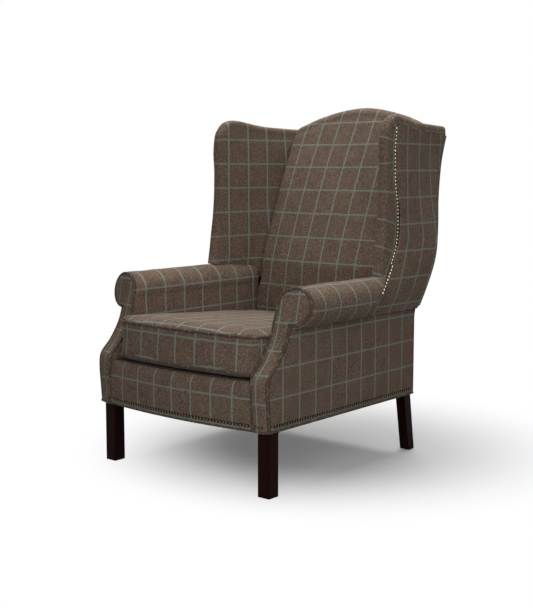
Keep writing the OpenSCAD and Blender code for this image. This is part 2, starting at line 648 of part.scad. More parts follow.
// Nail heads along the outer band of the wing's roll
module wing_studs(side) place() on_side(side) color(brass) {
  foot_z = roll_z + stud_d;
  path = concat([for (z = [foot_z, arm_h]) [roll_end_y(wing_out_x, z) + stud_d / 2 + 2 * gap, z]],
    [for (i = [1 : corner_i + 2]) wing_inset(i, band[i] - stud_d / 2 - gap)]);
  l = lengths(path);
  n = floor((l[len(l) - 1] - stud_d) / stud_pitch);
  // The lowest heads sit on the outside wing, the others on the roll
  for (k = [0 : n]) let (p = along(path, l, stud_d + k * stud_pitch),
    seat_x = p[1] < wing_edge[1][1] ? wing_out_x + stud_d / 4 : wing_x(p[0]) + wing_roll_w / 2 + gap)
    translate([seat_x, p[0], p[1]]) rotate([0, 90, wing_turn]) stud();
}
module wing_studs_left() wing_studs(1);
module wing_studs_right() wing_studs(-1);

/* Back */
function back_share(z) = (z - back_bottom_z) / (crest_h - back_bottom_z);
function back_thick(z) = back_t * lookup(back_share(z), back_shares);
function back_front(z) = back_rear(z) - back_thick(z);
module inside_back() {
  low_rise = 3;
  rise = 10;
  arc = 3;
  function half(k) = k < low_rise ? arm_in - gap : back_half_w;
  function rise_z(k, top) = k < low_rise ? mix(back_bottom_z, knee_z, k / (low_rise - 1))
    : mix(roll_z, top, (k - low_rise) / (rise - low_rise));
  function swell(x, z) = back_crown * (1 - pow(x / back_half_w, 2)) * sin(180 * mix(0.05, 1, back_share(z)));
  function arch(x, a) = let (c = crest_z(x) - arch_r) [x, back_rear(c) - arch_r * (1 - sin(a)),
    c + arch_r * cos(a)];
  near = [for (x = crest_x) concat(
    [for (k = [0 : rise]) let (z = rise_z(k, crest_z(x) - arch_r))
      [x / back_half_w * half(k), back_front(z) - swell(x, z), z]],
    [for (k = [1 : arc]) arch(x, -90 + 90 * k / arc)])];
  far = [for (x = crest_x) let (seam = crest_z(x) - crest_seam,
    past = mix(roll_z, seam, (rise - low_rise) / (rise - low_rise - 1))) concat(
    [for (k = [0 : rise - 1]) let (z = rise_z(k, past)) [x / back_half_w * half(k), post_line(z), z]],
    [[x, back_rear(seam) - panel_t - gap, seam]],
    [for (k = [arc : -1 : 1]) arch(x, 90 * k / arc)])];
  place() color(tweed) slab(near, far);
}

// Outside back: one padded panel, upright to the knee and raked above it
module outside_back() place() color(tweed) intersection() {
  top = crest_h;
  along_x([[base_d - panel_t, leg_h], [base_d, leg_h], [base_d, knee_z], [back_rear(top), top],
    [back_rear(top) - panel_t, top], [base_d - panel_t, knee_z]], -half_w - wing_belly, half_w + wing_belly);
  along_y(0, 2 * chair_d) {
    side = [for (k = [0 : 10]) let (z = mix(seam_z, wing_top_z, k / 10)) [belly_x(z), z]];
    crest = [for (x = reversed(crest_x)) [x, crest_z(x) - crest_seam - gap]];
    polygon(concat([[half_w, leg_h], [half_w, seam_z]], side, crest,
      reversed([for (p = side) [-p[0], p[1]]]), [[-half_w, seam_z], [-half_w, leg_h]]));
  }
}
wing_top_z = crest_z(back_half_w) - crest_seam - gap;

module back_webbing() place() color("#b9a888") for (i = [0 : strap_count - 1]) {
  x = mix(-1, 1, i / (strap_count - 1)) * (crest_half - strap_w);
  low = stay_rail_z;
  high = post_top_z;
  along_x([[post_front, low], [post_front + strap_t, low], [post_front + strap_t, knee_z],
    [post_front + strap_t + back_rake * (high - knee_z), high],
    [post_front + back_rake * (high - knee_z), high], [post_front, knee_z]],
    x - strap_w / 2, x + strap_w / 2);
}

/* Seat */
// Tilted frame of the deck and the cushion: x across, y down the slope, z square to it
module on_deck() translate([0, deck_y, border_h]) rotate([-seat_tilt, 0, 0]) children();

module seat_springs() place() color(steel) for (i = [0 : spring_count - 1]) {
  x = mix(-1, 1, i / (spring_count - 1)) * (arm_in - 1.2 * spring_w);
  border_rear = bow_front(abs(x) + spring_w / 2, border_in_r) - deck_y;
  front = (border_rear + spring_drop * sin(seat_tilt)) / cos(seat_tilt) + gap;
  bends = floor((post_front + cross_rail_t - deck_y - front) / spring_pitch / cos(seat_tilt));
  on_deck() translate([x, front, -spring_drop]) linear_extrude(height = spring_wire)
    for (k = [0 : bends - 1]) {
      translate([-spring_w / 2, k * spring_pitch]) square([spring_w, spring_wire]);
      if (k < bends - 1) translate([(k % 2 == 0 ? 1 : -1) * (spring_w - spring_wire) / 2 - spring_wire / 2,
        k * spring_pitch]) square([spring_wire, spring_pitch + spring_wire]);
    }
}

module seat_deck() place() color("#3f3a36") intersection() {
  on_deck() box([gap - arm_in, -border_front, -deck_t], [arm_in - gap, base_d, 0]);
  box([gap - arm_in, -border_front, 0], [arm_in - gap, post_front - gap, crest_h]);
  translate([0, bow_y, 0]) cylinder(r = border_in_r, h = crest_h, $fn = 360);
}

module dust_cover() place() color("#2b2927") intersection() {
  difference() {
    box([gap - inner_w, -border_front, leg_h], [inner_w - gap, base_d - panel_t - gap, leg_h + dust_t]);
    for (side = [1, -1]) on_side(side) {
      box([leg_x - gap, -border_front - over, leg_h - over], [half_w, front_leg_w + gap, leg_h + over]);
      box([post_in - gap, post_front - over, leg_h - over], [half_w, base_d, leg_h + over]);
    }
  }
  translate([0, bow_y, 0]) cylinder(r = border_in_r, h = crest_h, $fn = 360);
}

// Padded border under the cushion, with a rolled top edge
border_shares = [[1, 0], [1, 0.9], [0.93, 0.96], [0.75, 1], [0.4, 1], [0, 0.97], [0, 0]];
module front_border() place() color(tweed) bow_ring(
  [for (p = border_shares) [bow_r - border_t + p[0] * border_t, mix(leg_h, border_h, p[1])]],
  facing_in - welt_d - 2 * gap);

// Self piping round the bottom of the base
module base_welt() place() color(tweed_dark) {
  off = welt_r + gap;
  half = facing_in - welt_d;
  side_y = facing_y(facing_out, leg_h + welt_d);
  front = [for (s = [-1 : 0.2 : 1]) [s * half, bow_front(s * half, bow_r + off)]];
  right = [[facing_in, facing_y(facing_in, leg_h + welt_d) - off], [facing_out, side_y - off],
    [half_w + off * 0.7, side_y - off * 0.4], [half_w + off, side_y + off],
    [half_w + off, base_d / 2], [half_w + off, base_d - off], [half_w + off * 0.7, base_d + off * 0.7],
    [half_w - off, base_d + off]];
  path = concat(front, right, reversed([for (p = right) [-p[0], p[1]]]));
  hoop([for (p = path) [p[0], p[1], leg_h + welt_r]], welt_r, [0, 0, 1]);
}

// Nail heads above the bottom piping: along the border, and along each facing and side
stud_z = leg_h + welt_d + stud_d;
module base_studs_front() place() color(brass) {
  half = facing_in - welt_d - stud_d;
  turn = asin(half / bow_r);
  n = floor(2 * turn / 180 * PI * bow_r / stud_pitch);
  for (k = [0 : n]) translate([0, bow_y, stud_z]) rotate([0, 0, mix(-turn, turn, k / n)])
    translate([0, -bow_r - gap, 0]) rotate([90, 0, 0]) stud();
}
module base_studs_side(side) place() on_side(side) color(brass) {
  m = floor((facing_out - facing_in - stud_d) / stud_pitch);
  for (k = [0 : m]) let (x = facing_in + stud_d / 2 + gap + k * stud_pitch)
    translate([x, facing_y(x, stud_z + stud_d / 2) - gap, stud_z]) rotate([90, 0, facing_turn]) stud();
  first = facing_y(half_w, stud_z) + facing_t + stud_d;
  run = base_d - panel_t - stud_d - first;
  for (k = [0 : floor(run / stud_pitch)])
    translate([half_w + gap, first + k * stud_pitch, stud_z]) rotate([0, 90, 0]) stud();
}
module base_studs_left() base_studs_side(1);
module base_studs_right() base_studs_side(-1);

/* Cushion */
cushion_half = arm_in - cushion_gap;
cushion_bow = border_bow * pow(cushion_half / half_w, 2);
cushion_rise = 2 * welt_d;
cushion_front = -border_front + cushion_setback - deck_y;
// Angles round a quarter of the outline, close together where it runs straight
ring_angles = [0, 0.3, 1.5, 5, 12, 22, 34, 45];
quarter = concat(ring_angles, [for (i = [6 : -1 : 1]) 90 - ring_angles[i]]);
round_angles = [for (q = [0 : 3]) each [for (a = quarter) a + 90 * q]];
squareness = 0.1;
function soft_power(v) = sign(v) * pow(abs(v), squareness);
// Outline of the cushion at an inset and a height, in the deck's frame
function ring(inset, z) = let (half = (cushion_d - 2 * inset) / 2, mid = cushion_front + cushion_bow
    + (cushion_d - cushion_bow) / 2) [for (a = round_angles)
  let (u = soft_power(cos(a)), v = soft_power(sin(a)), deep = half - cushion_bow / 2)
    [u * (cushion_half - inset), mid + v * deep - (v < 0 ? cushion_bow * (1 - u * u) : 0), z]];
welt_low = gap + cushion_rise;
welt_high = welt_low + cushion_t;
groove = 1.5 * welt_r;
// Side of the cushion from its underside to its crown: inset, height
cushion_rings = concat(
  [for (p = [[12, 0], [6, 0.2], [2.5, 0.45]]) [p[0] * welt_d, gap + p[1] * cushion_rise]],
  [[welt_r + gap, welt_low - groove], [2.5 * welt_r, welt_low], [welt_r + gap, welt_low + groove]],
  [for (k = [1 : 3]) [welt_r + gap + boxing_draw * sin(45 * k), mix(welt_low, welt_high, k / 4)]],
  [[welt_r + gap, welt_high - groove], [2.5 * welt_r, welt_high], [welt_r + gap, welt_high + groove]],
  [for (p = [[3, 0.55], [7, 0.75], [14, 0.92], [22, 1]])
    [p[0] * welt_d, welt_high + groove + p[1] * (cushion_crown - groove)]]);
module seat_cushion() place() on_deck() color(tweed) {
  mid = cushion_front + cushion_d / 2;
  loft([for (p = cushion_rings) reversed(ring(p[0], p[1]))], [0, mid, gap],
    [0, mid, welt_high + cushion_crown]);
}
module cushion_welt_top() place() on_deck()
  color(tweed_dark) hoop(ring(welt_r, welt_high), welt_r, [0, 0, 1]);
module cushion_welt_bottom() place() on_deck() color(tweed_dark)
  hoop(ring(welt_r, welt_low), welt_r, [0, 0, 1]);

// Zip in the middle of the rear boxing, and its slider parked at one end
zip_y = cushion_front + cushion_d - welt_r - boxing_draw / 2;
zip_z = (welt_low + welt_high) / 2;
module cushion_zip() place() on_deck() color("#3a322d")
  box([-zip_l / 2, zip_y, zip_z - zip_w / 2], [zip_l / 2, zip_y + zip_t, zip_z + zip_w / 2]);
slider_t = 1.5 * zip_t;
module zip_slider() place() on_deck() color(brass) 
  translate([-zip_l / 2, zip_y + zip_t + gap, zip_z - slider_l / 4]) cube([slider_l, slider_t, slider_l / 2]);

leg_front_left();
leg_front_right();
back_post_left();
back_post_right();
glide_front_left();
glide_front_right();
glide_rear_left();
glide_rear_right();
front_rail();
side_rail_left();
side_rail_right();
back_rail();
stay_rail();
crest_rail();
corner_blocks();
arm_post_left();
arm_post_right();
arm_board_left();
arm_board_right();
wing_board_left();
wing_board_right();
seat_springs();
back_webbing();
seat_deck();
dust_cover();
front_border();
base_welt();
base_studs_front();
base_studs_left();
base_studs_right();
outside_arm_left();
outside_arm_right();
arm_pad_left();
arm_pad_right();
arm_facing_left();
arm_facing_right();
facing_welt_left();
facing_welt_right();
inside_back();
outside_back();
inside_wing_left();
inside_wing_right();
wing_roll_left();
wing_roll_right();
wing_studs_left();
wing_studs_right();
outside_wing_left();
outside_wing_right();
seat_cushion();
cushion_welt_top();
cushion_welt_bottom();
cushion_zip();
zip_slider();
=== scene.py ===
# %% [markdown]
# # A wing-back fireside chair, dressed in windowpane tweed
# The frame of the chair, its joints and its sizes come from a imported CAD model. This lesson dresses it:
# every cloth-covered form is modelled again as padded cloth, and every surface gets a material that is
# worked out from the real stuff it is made of.

# %% Load the frame
import math
import bmesh
import bpy
import numpy as np
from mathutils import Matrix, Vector


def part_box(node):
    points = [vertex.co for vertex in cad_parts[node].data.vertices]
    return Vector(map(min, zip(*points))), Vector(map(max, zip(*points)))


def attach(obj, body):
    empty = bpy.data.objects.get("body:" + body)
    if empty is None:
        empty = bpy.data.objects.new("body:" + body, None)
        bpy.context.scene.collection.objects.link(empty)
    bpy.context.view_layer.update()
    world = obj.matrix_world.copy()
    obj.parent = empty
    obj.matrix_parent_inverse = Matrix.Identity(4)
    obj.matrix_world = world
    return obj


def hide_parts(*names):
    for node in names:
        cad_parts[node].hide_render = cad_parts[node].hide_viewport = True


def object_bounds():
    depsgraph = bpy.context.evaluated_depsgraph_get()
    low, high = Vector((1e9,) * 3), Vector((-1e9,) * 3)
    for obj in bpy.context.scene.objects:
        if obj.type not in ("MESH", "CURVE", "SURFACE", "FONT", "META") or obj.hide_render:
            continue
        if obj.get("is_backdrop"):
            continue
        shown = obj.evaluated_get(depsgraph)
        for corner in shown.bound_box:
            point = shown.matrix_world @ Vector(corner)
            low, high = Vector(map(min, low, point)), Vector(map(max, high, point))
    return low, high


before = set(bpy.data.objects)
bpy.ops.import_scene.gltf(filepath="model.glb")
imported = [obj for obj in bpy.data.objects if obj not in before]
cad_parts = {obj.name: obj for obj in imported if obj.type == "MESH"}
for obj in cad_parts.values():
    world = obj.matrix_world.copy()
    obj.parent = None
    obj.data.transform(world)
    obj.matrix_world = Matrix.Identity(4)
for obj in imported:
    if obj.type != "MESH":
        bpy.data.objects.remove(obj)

cad_low, cad_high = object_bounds()
print("chair", [round(b - a, 3) for a, b in zip(cad_low, cad_high)], "m;", len(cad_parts), "nodes")

# %% [markdown]
# ## Sizes
# An upholsterer measures a chair in millimetres from the front of the front legs, so the sizes below are
# written that way. They are the ones the CAD model was drawn with. `to_metres` moves points into the
# shared frame, whose origin lies on the floor under the middle of the chair.

# %% Sizes, in millimetres
MM = 0.001
GAP = 0.3
HALF_W, ARM_IN = 346.0, 289.0
LEG_H, BORDER_H, BASE_D = 190.0, 333.0, 724.0
ARM_H, WING_H, CREST_H = 591.0, 1083.0, 1127.0
PANEL_T, WELT_R = 8.0, 4.0
BORDER_BOW, BORDER_FRONT, BORDER_T = 34.0, 40.0, 20.0
ROLL_R, ROLL_X, ROLL_Z = 60.0, 347.0, 531.0
SEAM_Z = ROLL_Z - ROLL_R - GAP
KNEE_Z = 0.96 * SEAM_Z
RAKE, BACK_HALF, CREST_DROP, BACK_CROWN, BACK_T = 0.36, 271.0, 66.0, 14.0, 100.0
FACING_R, FACING_T, FACING_LEAN, FACING_FRONT = 47.5, 14.0, 117.0, 20.0
FACING_TURN, WING_TURN = math.radians(10), math.radians(6.5)
WING_D, WING_ROLL_W, WING_ROLL_D, WING_BELLY = 226.0, 38.0, 24.0, 36.0
ROLL_END_FALL, ROLL_END_TURN = 80.0, math.radians(54)
STUD_D, STUD_H, STUD_PITCH = 10.0, 3.0, 11.5
CUSHION_T, CUSHION_D, CUSHION_SETBACK, CUSHION_CROWN = 104.0, 672.0, 5.0, 20.0
CUSHION_GAP, SEAT_TILT = 5.5, math.radians(4)
ARCH_R = 0.68 * BACK_T / 2
FRONT_REACH = BORDER_FRONT + 2 * WELT_R + GAP
SHIFT = FRONT_REACH - (cad_high.y - cad_low.y) / MM / 2


def to_metres(points):
    return (np.asarray(points, float) + [0.0, SHIFT, 0.0]) * MM


# %% [markdown]
# ## Small tools for cloth
# A piece of cloth is easiest to make as a grid of points, because the pattern then follows it for free:
# each point also gets its place on the flat cloth, in metres, as its UV. `pad` closes such a grid into a
# padded solid, with a second grid under it.

# %% Curves and grids
def spline(points, steps):
    p = np.asarray(points, float)
    out = []
    for i in range(len(p) - 1):
        a, b, c, d = p[max(0, i - 1)], p[i], p[i + 1], p[min(len(p) - 1, i + 2)]
        for t in np.arange(steps) / steps:
            bend = a - 2.5 * b + 2 * c - d / 2 + t * (3 * (b - c) + d - a) / 2
            out.append(b + t * ((c - a) / 2 + t * bend))
    return np.array(out + [p[-1]])


def run(points):
    """Length along a path, at each of its points."""
    return np.r_[0, np.cumsum(np.linalg.norm(np.diff(points, axis=0), axis=1))]


def join(*parts):
    """Points or cloth coordinates from their separate parts, spread to one shape."""
    return np.stack(np.broadcast_arrays(*parts), -1)


def resample(points, at):
    """Points of a path at shares of its length."""
    p = np.asarray(points, float)
    s = run(p)
    return np.stack([np.interp(np.asarray(at) * s[-1], s, p[:, k]) for k in range(p.shape[1])], -1)


def smooth(t):
    t = np.clip(t, 0, 1)
    return t * t * (3 - 2 * t)


def rounded(t):
    """A quarter circle: steep at 0, level at 1."""
    return np.sqrt(np.clip(1 - (1 - np.clip(t, 0, 1)) ** 2, 0, 1))


def eased(steps):
    """Shares from 0 to 1 that lie closer together at both ends."""
    return (1 - np.cos(np.linspace(0, math.pi, steps))) / 2


def ripple(points, wave, seed):
    """Soft lumps of about one wave length across, between -1 and 1."""
    rng = np.random.default_rng(seed)
    total = 0
    for _ in range(7):
        way = rng.normal(size=3)
        way /= np.linalg.norm(way)
        phase = (points @ way) * 2 * math.pi / wave / rng.uniform(0.7, 1.4)
        total = total + np.sin(phase + rng.uniform(0, 7))
    return total / 3.5


def normals(grid):
    a, b = np.gradient(grid, axis=0), np.gradient(grid, axis=1)
    n = np.cross(a, b)
    return n / np.maximum(np.linalg.norm(n, axis=-1, keepdims=True), 1e-9)


# %% Make a mesh object from points, faces and cloth coordinates
def in_scene(name, data):
    obj = bpy.data.objects.new(name, data)
    bpy.context.scene.collection.objects.link(obj)
    return obj


def make(name, points, faces, uv=None, side=1, crease=50):
    p = to_metres(points)
    if side < 0:
        p = p * [-1, 1, 1]
        faces = [f[::-1] for f in faces]
    mesh = bpy.data.meshes.new(name)
    mesh.from_pydata(p.tolist(), [], [list(map(int, f)) for f in faces])
    mesh.update()
    if uv is not None:
        layer = mesh.uv_layers.new(name="cloth")
        index = np.zeros(len(mesh.loops), int)
        mesh.loops.foreach_get("vertex_index", index)
        layer.data.foreach_set("uv", (np.asarray(uv, float)[index] * MM).ravel())
    mesh.shade_smooth()
    mesh.set_sharp_from_angle(angle=math.radians(crease))
    return in_scene(name, mesh)


def grid_faces(rows, cols, start=0, flip=False, loop=False):
    """Faces of a grid of points; a looped grid also joins its last column to its first."""
    out = []
    for row in range(start, start + (rows - 1) * cols, cols):
        for j in range(cols if loop else cols - 1):
            k = (j + 1) % cols
            f = [row + j, row + k, row + cols + k, row + cols + j]
            out.append(f[::-1] if flip else f)
    return out


def stack_faces(rows, cols, start=0, flip=False):
    """Faces of a stack of rings whose two ends are closed."""
    last = start + (rows - 1) * cols
    ends = [[*range(start, start + cols)][::-1], [*range(last, last + cols)]]
    return grid_faces(rows, cols, start, flip, True) + [f[::-1] if flip else f for f in ends]


def fan(start, cols, tip):
    """Faces from a ring of points to one point."""
    return [[start + j, start + (j + 1) % cols, tip] for j in range(cols)]


def pad(name, front, uv, under, side=1, flip=False):
    """A closed padded piece: the front grid, the grid under it, and the edges between them."""
    rows, cols = front.shape[:2]
    n = rows * cols
    faces = grid_faces(rows, cols, 0, flip) + grid_faces(rows, cols, n, not flip)
    rim = [*range(cols), *range(2 * cols - 1, n, cols), *range(n - 2, n - cols - 1, -1)]
    rim += range(n - 2 * cols, 0, -cols)
    for a, b in zip(rim, rim[1:] + rim[:1]):
        f = [a, n + a, n + b, b]
        faces.append(f[::-1] if flip else f)
    points = np.concatenate([front.reshape(-1, 3), under.reshape(-1, 3)])
    return make(name, points, faces, np.concatenate([uv.reshape(-1, 2)] * 2), side)


def tube(name, path, radius, closed=False, side=1, up=(0, 0, 1)):
    """Piping: a round cord in a strip of the same cloth, cut on the bias so that it bends."""
    path = np.asarray(path, float)
    if closed:
        t = np.roll(path, -1, 0) - np.roll(path, 1, 0)
    else:
        t = np.gradient(path, axis=0)
    t /= np.linalg.norm(t, axis=1, keepdims=True)
    a = np.cross(t, np.asarray(up, float))
    across = np.linalg.norm(a, axis=1)
    # Where the path runs along `up`, the nearest direction that is defined is taken
    good = np.nonzero(across > 1e-6)[0]
    nearest = good[np.abs(np.arange(len(a))[:, None] - good[None]).argmin(axis=1)]
    a = a[nearest] / across[nearest, None]
    b = np.cross(a, t)
    sides = 12
    turn = 2 * math.pi * np.arange(sides) / sides
    circle = np.cos(turn)[:, None] * a[:, None] + np.sin(turn)[:, None] * b[:, None]
    points = (path[:, None] + radius * circle).reshape(-1, 3)
    along = run(path)[:, None]
    around = radius * np.abs(np.minimum(turn, 2 * math.pi - turn))
    uv = join(along + around, along * 0.7 - around).reshape(-1, 2)
    faces = stack_faces(len(path), sides)
    if closed:
        last = (len(path) - 1) * sides
        faces[-2:] = [[last + j, last + (j + 1) % sides, (j + 1) % sides, j] for j in range(sides)]
    return make(name, points, faces, uv, side)


# %% [markdown]
# ## Finish first: the tweed
# The cover is a wool tweed with a windowpane check. Wool scatters light, so it is rough, hardly shines,
# and its raised hairs give a faint sheen at the edges of each form. Three yarns make the ground: taupe,
# brown and a pink-grey fleck. A check could be an image; here it is the distance to the nearest multiple
# of each repeat.

# %% Colours and one function that adds a node
def linear(code):
    parts = [int(code[i:i + 2], 16) / 255 for i in (1, 3, 5)]
    return [c / 12.92 if c <= 0.04045 else ((c + 0.055) / 1.055) ** 2.4 for c in parts] + [1.0]


def add(tree, kind, settings=None, links=None):
    """Adds a shader node; settings are its properties and plain input values, links its wired inputs."""
    node = tree.nodes.new("ShaderNode" + kind)
    for key, value in (settings or {}).items():
        if isinstance(key, int) or key in node.inputs:
            node.inputs[key].default_value = value
        else:
            setattr(node, key, value)
    for key, source in (links or {}).items():
        tree.links.new(source, node.inputs[key])
    return node


def own_place(tree):
    """Where a point lies in its own piece, so that a pattern travels with it."""
    return add(tree, "TexCoord").outputs["Object"]


def material(name, roughness, base=None, **settings):
    m = bpy.data.materials.new(name)
    m.use_nodes = True
    shader = m.node_tree.nodes["Principled BSDF"]
    shader.inputs["Roughness"].default_value = roughness
    if base:
        shader.inputs["Base Color"].default_value = linear(base)
    for key, value in settings.items():
        shader.inputs[key.replace("_", " ")].default_value = value
    return m, m.node_tree, shader


# %% [markdown]
# A ramp turns a grey value into colours, a fade turns it into a mask, a mix lays one colour over another
# by that mask, and a bump node turns a pattern into relief. Real threads are about 1.2 mm apart, too fine
# for this picture, so the weave is drawn about three times as coarse, where it shows as the cloth's grain.

# %% Noise, ramps, masks and relief
def noise(tree, size_mm, place, detail=3.0, **settings):
    settings = {"Scale": 1 / (size_mm * MM), "Detail": detail} | settings
    return add(tree, "TexNoise", settings, {"Vector": place}).outputs[0]


def maths(tree, operation, a, b):
    return add(tree, "Math", {"operation": operation}, {0: a, 1: b}).outputs[0]


def ramp(tree, value, *stops):
    """Colours laid along a grey value; each stop is its place and its colour."""
    node = add(tree, "ValToRGB", links={0: value})
    marks = node.color_ramp.elements
    for mark, (at, code) in zip(list(marks), (stops[0], stops[-1])):
        mark.position, mark.color = at, linear(code)
    for at, code in stops[1:-1]:
        marks.new(at).color = linear(code)
    return node.outputs[0]


def relief(tree, shader, height, strength, depth_mm):
    bump = add(tree, "Bump", {"Strength": strength, "Distance": depth_mm * MM}, {"Height": height})
    tree.links.new(bump.outputs[0], shader.inputs["Normal"])


def fade(tree, value, near, far, start=1.0, end=0.0, kind="SMOOTHSTEP"):
    """A value that goes from start to end while another goes from near to far."""
    settings = {"interpolation_type": kind, 1: near, 2: far, 3: start, 4: end}
    return add(tree, "MapRange", settings, {0: value}).outputs[0]


def blend_colours(tree, mask, low, high, kind="MIX"):
    node = add(tree, "Mix", {"data_type": "RGBA", "blend_type": kind})
    for socket, value in ((node.inputs[0], mask), (node.inputs[6], low), (node.inputs[7], high)):
        if isinstance(value, (list, float)):
            socket.default_value = value
        else:
            tree.links.new(value, socket)
    return node.outputs[2]


# %% Windowpane tweed
CHECK_ACROSS, CHECK_UP = 75.0, 83.0
LINE_W, LEVEL_LINE_SHARE = 5.2, 0.8
GRAIN, LUMP = 3.6, 45.0


def tweed(name, ground, dark, fleck, line, strength=0.8):
    m, tree, shader = material(name, 0.9, Specular_IOR_Level=0.25, Sheen_Weight=0.06, Sheen_Roughness=0.5,
                               Sheen_Tint=linear("#c9b5a6"))
    place = own_place(tree)
    cloth = add(tree, "UVMap", {"uv_map": "cloth"}).outputs[0]
    flat = add(tree, "SeparateXYZ", links={0: cloth})
    masks = []
    for axis, repeat, part in (("X", CHECK_ACROSS, 1.0), ("Y", CHECK_UP, LEVEL_LINE_SHARE)):
        near = add(tree, "Math", {"operation": "PINGPONG", 1: repeat * MM / 2}, {0: flat.outputs[axis]})
        masks.append(fade(tree, near.outputs[0], LINE_W * 0.28 * MM, LINE_W * 0.72 * MM, part * strength))
    check = maths(tree, "MAXIMUM", *masks)
    grain = noise(tree, GRAIN, place, Roughness=0.65)
    yarns = ramp(tree, grain, (0.32, dark), (0.5, ground), (0.68, fleck))
    tone = fade(tree, noise(tree, LUMP, place, 2.0), 0.3, 0.7, 0.9, 1.1, "LINEAR")
    cloth_colour = blend_colours(tree, 1.0, yarns, tone, "MULTIPLY")
    mask = maths(tree, "MULTIPLY", check, fade(tree, grain, 0.3, 0.6, 0.72, 1.0, "LINEAR"))
    tree.links.new(blend_colours(tree, mask, cloth_colour, linear(line)), shader.inputs["Base Color"])
    ribs = {"wave_type": "BANDS", "bands_direction": "DIAGONAL", "Distortion": 1.5, "Detail": 1.0}
    ribs["Scale"] = 1 / (GRAIN * MM) / 3.3
    twill = add(tree, "TexWave", ribs, {"Vector": cloth}).outputs[1]
    weave = add(tree, "Math", {"operation": "MULTIPLY_ADD", 1: 0.35}, {0: twill, 2: grain}).outputs[0]
    relief(tree, shader, weave, 0.5, 0.8)
    return m


TWEED = tweed("Windowpane wool tweed", "#796657", "#4b3c32", "#a28c7a", "#98aca2")
# The piping is the cover's own tweed drawn darker, with fainter lines: painted shade of the seams
PIPING = tweed("Self piping, bias cut, painted seam shade", "#604f45", "#45382f", "#7a695d", "#9aa59d", 0.4)

# %% [markdown]
# ## Wood, metal and the stuff inside
# The legs are mahogany stained almost black and rubbed dull: the red-brown figure barely shows and hardly
# anything is mirrored. Nail heads are antiqued brass: the pale crowns are painted glints, the near-black
# rims are partly patina and partly painted shade, and the heads round the base are a darker copy with
# painted shade. The frame inside is bare beech and plywood, and the cloths underneath are plain cotton.

# %% Wood with a grain along one axis
def wood(name, dark, light, roughness, grain_mm=2.2, along="Z", **settings):
    m, tree, shader = material(name, roughness, **settings)
    place = own_place(tree)
    stretch = {"X": (0.06, 1, 1), "Y": (1, 0.06, 1), "Z": (1, 1, 0.06)}[along]
    run_out = add(tree, "Mapping", {"Scale": stretch}, {"Vector": place}).outputs[0]
    fibres = noise(tree, grain_mm, run_out, 4.0, Roughness=0.6)
    figure = noise(tree, 18, run_out, 2.0, Distortion=1.2)
    both = add(tree, "Math", {"operation": "MULTIPLY_ADD", 1: 0.55}, {0: fibres, 2: figure}).outputs[0]
    tree.links.new(ramp(tree, both, (0.55, dark), (0.95, light)), shader.inputs["Base Color"])
    relief(tree, shader, fibres, 0.25, 0.15)
    return m


MAHOGANY = wood("Polished mahogany", "#0a0302", "#270c07", 0.42, Specular_IOR_Level=0.03)
BEECH = "#9c7347", "#cfa877"
BEECH_UP = wood("Planed beech, grain upright", *BEECH, 0.6)
BEECH_ACROSS = wood("Planed beech, grain across", *BEECH, 0.6, along="X")
BEECH_DEEP = wood("Planed beech, grain front to rear", *BEECH, 0.6, along="Y")
PLYWOOD = wood("Sanded birch plywood", "#b08f62", "#dcc096", 0.62, grain_mm=3.0)


# %% Metal, cotton and plastic
def speckled(name, low, high, size_mm, roughness, relief_mm=0.3, **settings):
    m, tree, shader = material(name, roughness, **settings)
    specks = noise(tree, size_mm, own_place(tree))
    tree.links.new(ramp(tree, specks, (0.35, low), (0.65, high)), shader.inputs["Base Color"])
    relief(tree, shader, specks, 0.4, relief_mm)
    return m


def brass(name, crown, bright_mm, dark_mm):
    """A head's cloth coordinate is its distance from the crown, where a glint is painted."""
    m, tree, shader = material(name, 0.3, Metallic=1.0)
    radius = add(tree, "UVMap", {"uv_map": "cloth"}).outputs[0]
    from_crown = add(tree, "SeparateXYZ", None, {0: radius}).outputs[0]
    spots = noise(tree, 2.5, own_place(tree))
    # Painted highlight: a pale crown where a glint shows; the dark rim is partly patina, partly painted
    # shade
    crown_glint = maths(tree, "MULTIPLY", fade(tree, from_crown, bright_mm * MM, dark_mm * MM), spots)
    tree.links.new(ramp(tree, crown_glint, (0.05, "#0c0906"), (0.42, crown)), shader.inputs["Base Color"])
    return m


# Painted glints: the crowns of the wing heads are nearly cream
BRASS = brass("Antiqued brass, painted glints on crowns", "#f4e8c6", 3.0, 4.6)
# The heads round the base are the same brass drawn darker: painted shade
SHADED_BRASS = brass("Antiqued brass, painted shade", "#6a5a44", 1.2, 3.6)
STEEL = speckled("Oiled spring steel", "#5f6164", "#8b8e92", 6.0, 0.35, 0.05, Metallic=1.0)
DECK_CLOTH = speckled("Plain cotton platform cloth", "#3d3530", "#4d443e", 2.5, 0.95)
DUST_CLOTH = speckled("Black bottom cloth", "#1c1a19", "#2b2826", 2.5, 0.95)
JUTE = speckled("Jute webbing", "#8f7c58", "#b9a47c", 2.5, 0.9)
GLIDE = speckled("Moulded nylon glide", "#151514", "#1f1e1d", 1.5, 0.5, 0.05)
TAPE = speckled("Woven zip tape", "#2b2420", "#3c332d", 1.5, 0.9)


# %% [markdown]
# ## Finishing a piece
# Every piece gets the same facts: its material, the body it rides on and the CAD nodes it stands for. One
# function says them all, with the names written out in its call.

# %% Finish a piece
def dress(piece, body, nodes, cloth=TWEED):
    piece.data.materials.append(cloth)
    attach(piece, body)
    if nodes:
        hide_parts(*nodes)


# %% [markdown]
# ## The facing, and where everything in front of it ends
# The padded scroll on the front of each arm is the chair's signature: seen from the front it is a straight
# neck that opens into a round scroll, and seen from the side it is swept into an S and turned outwards.
# All other arm pieces start behind it, so its S is worked out first.

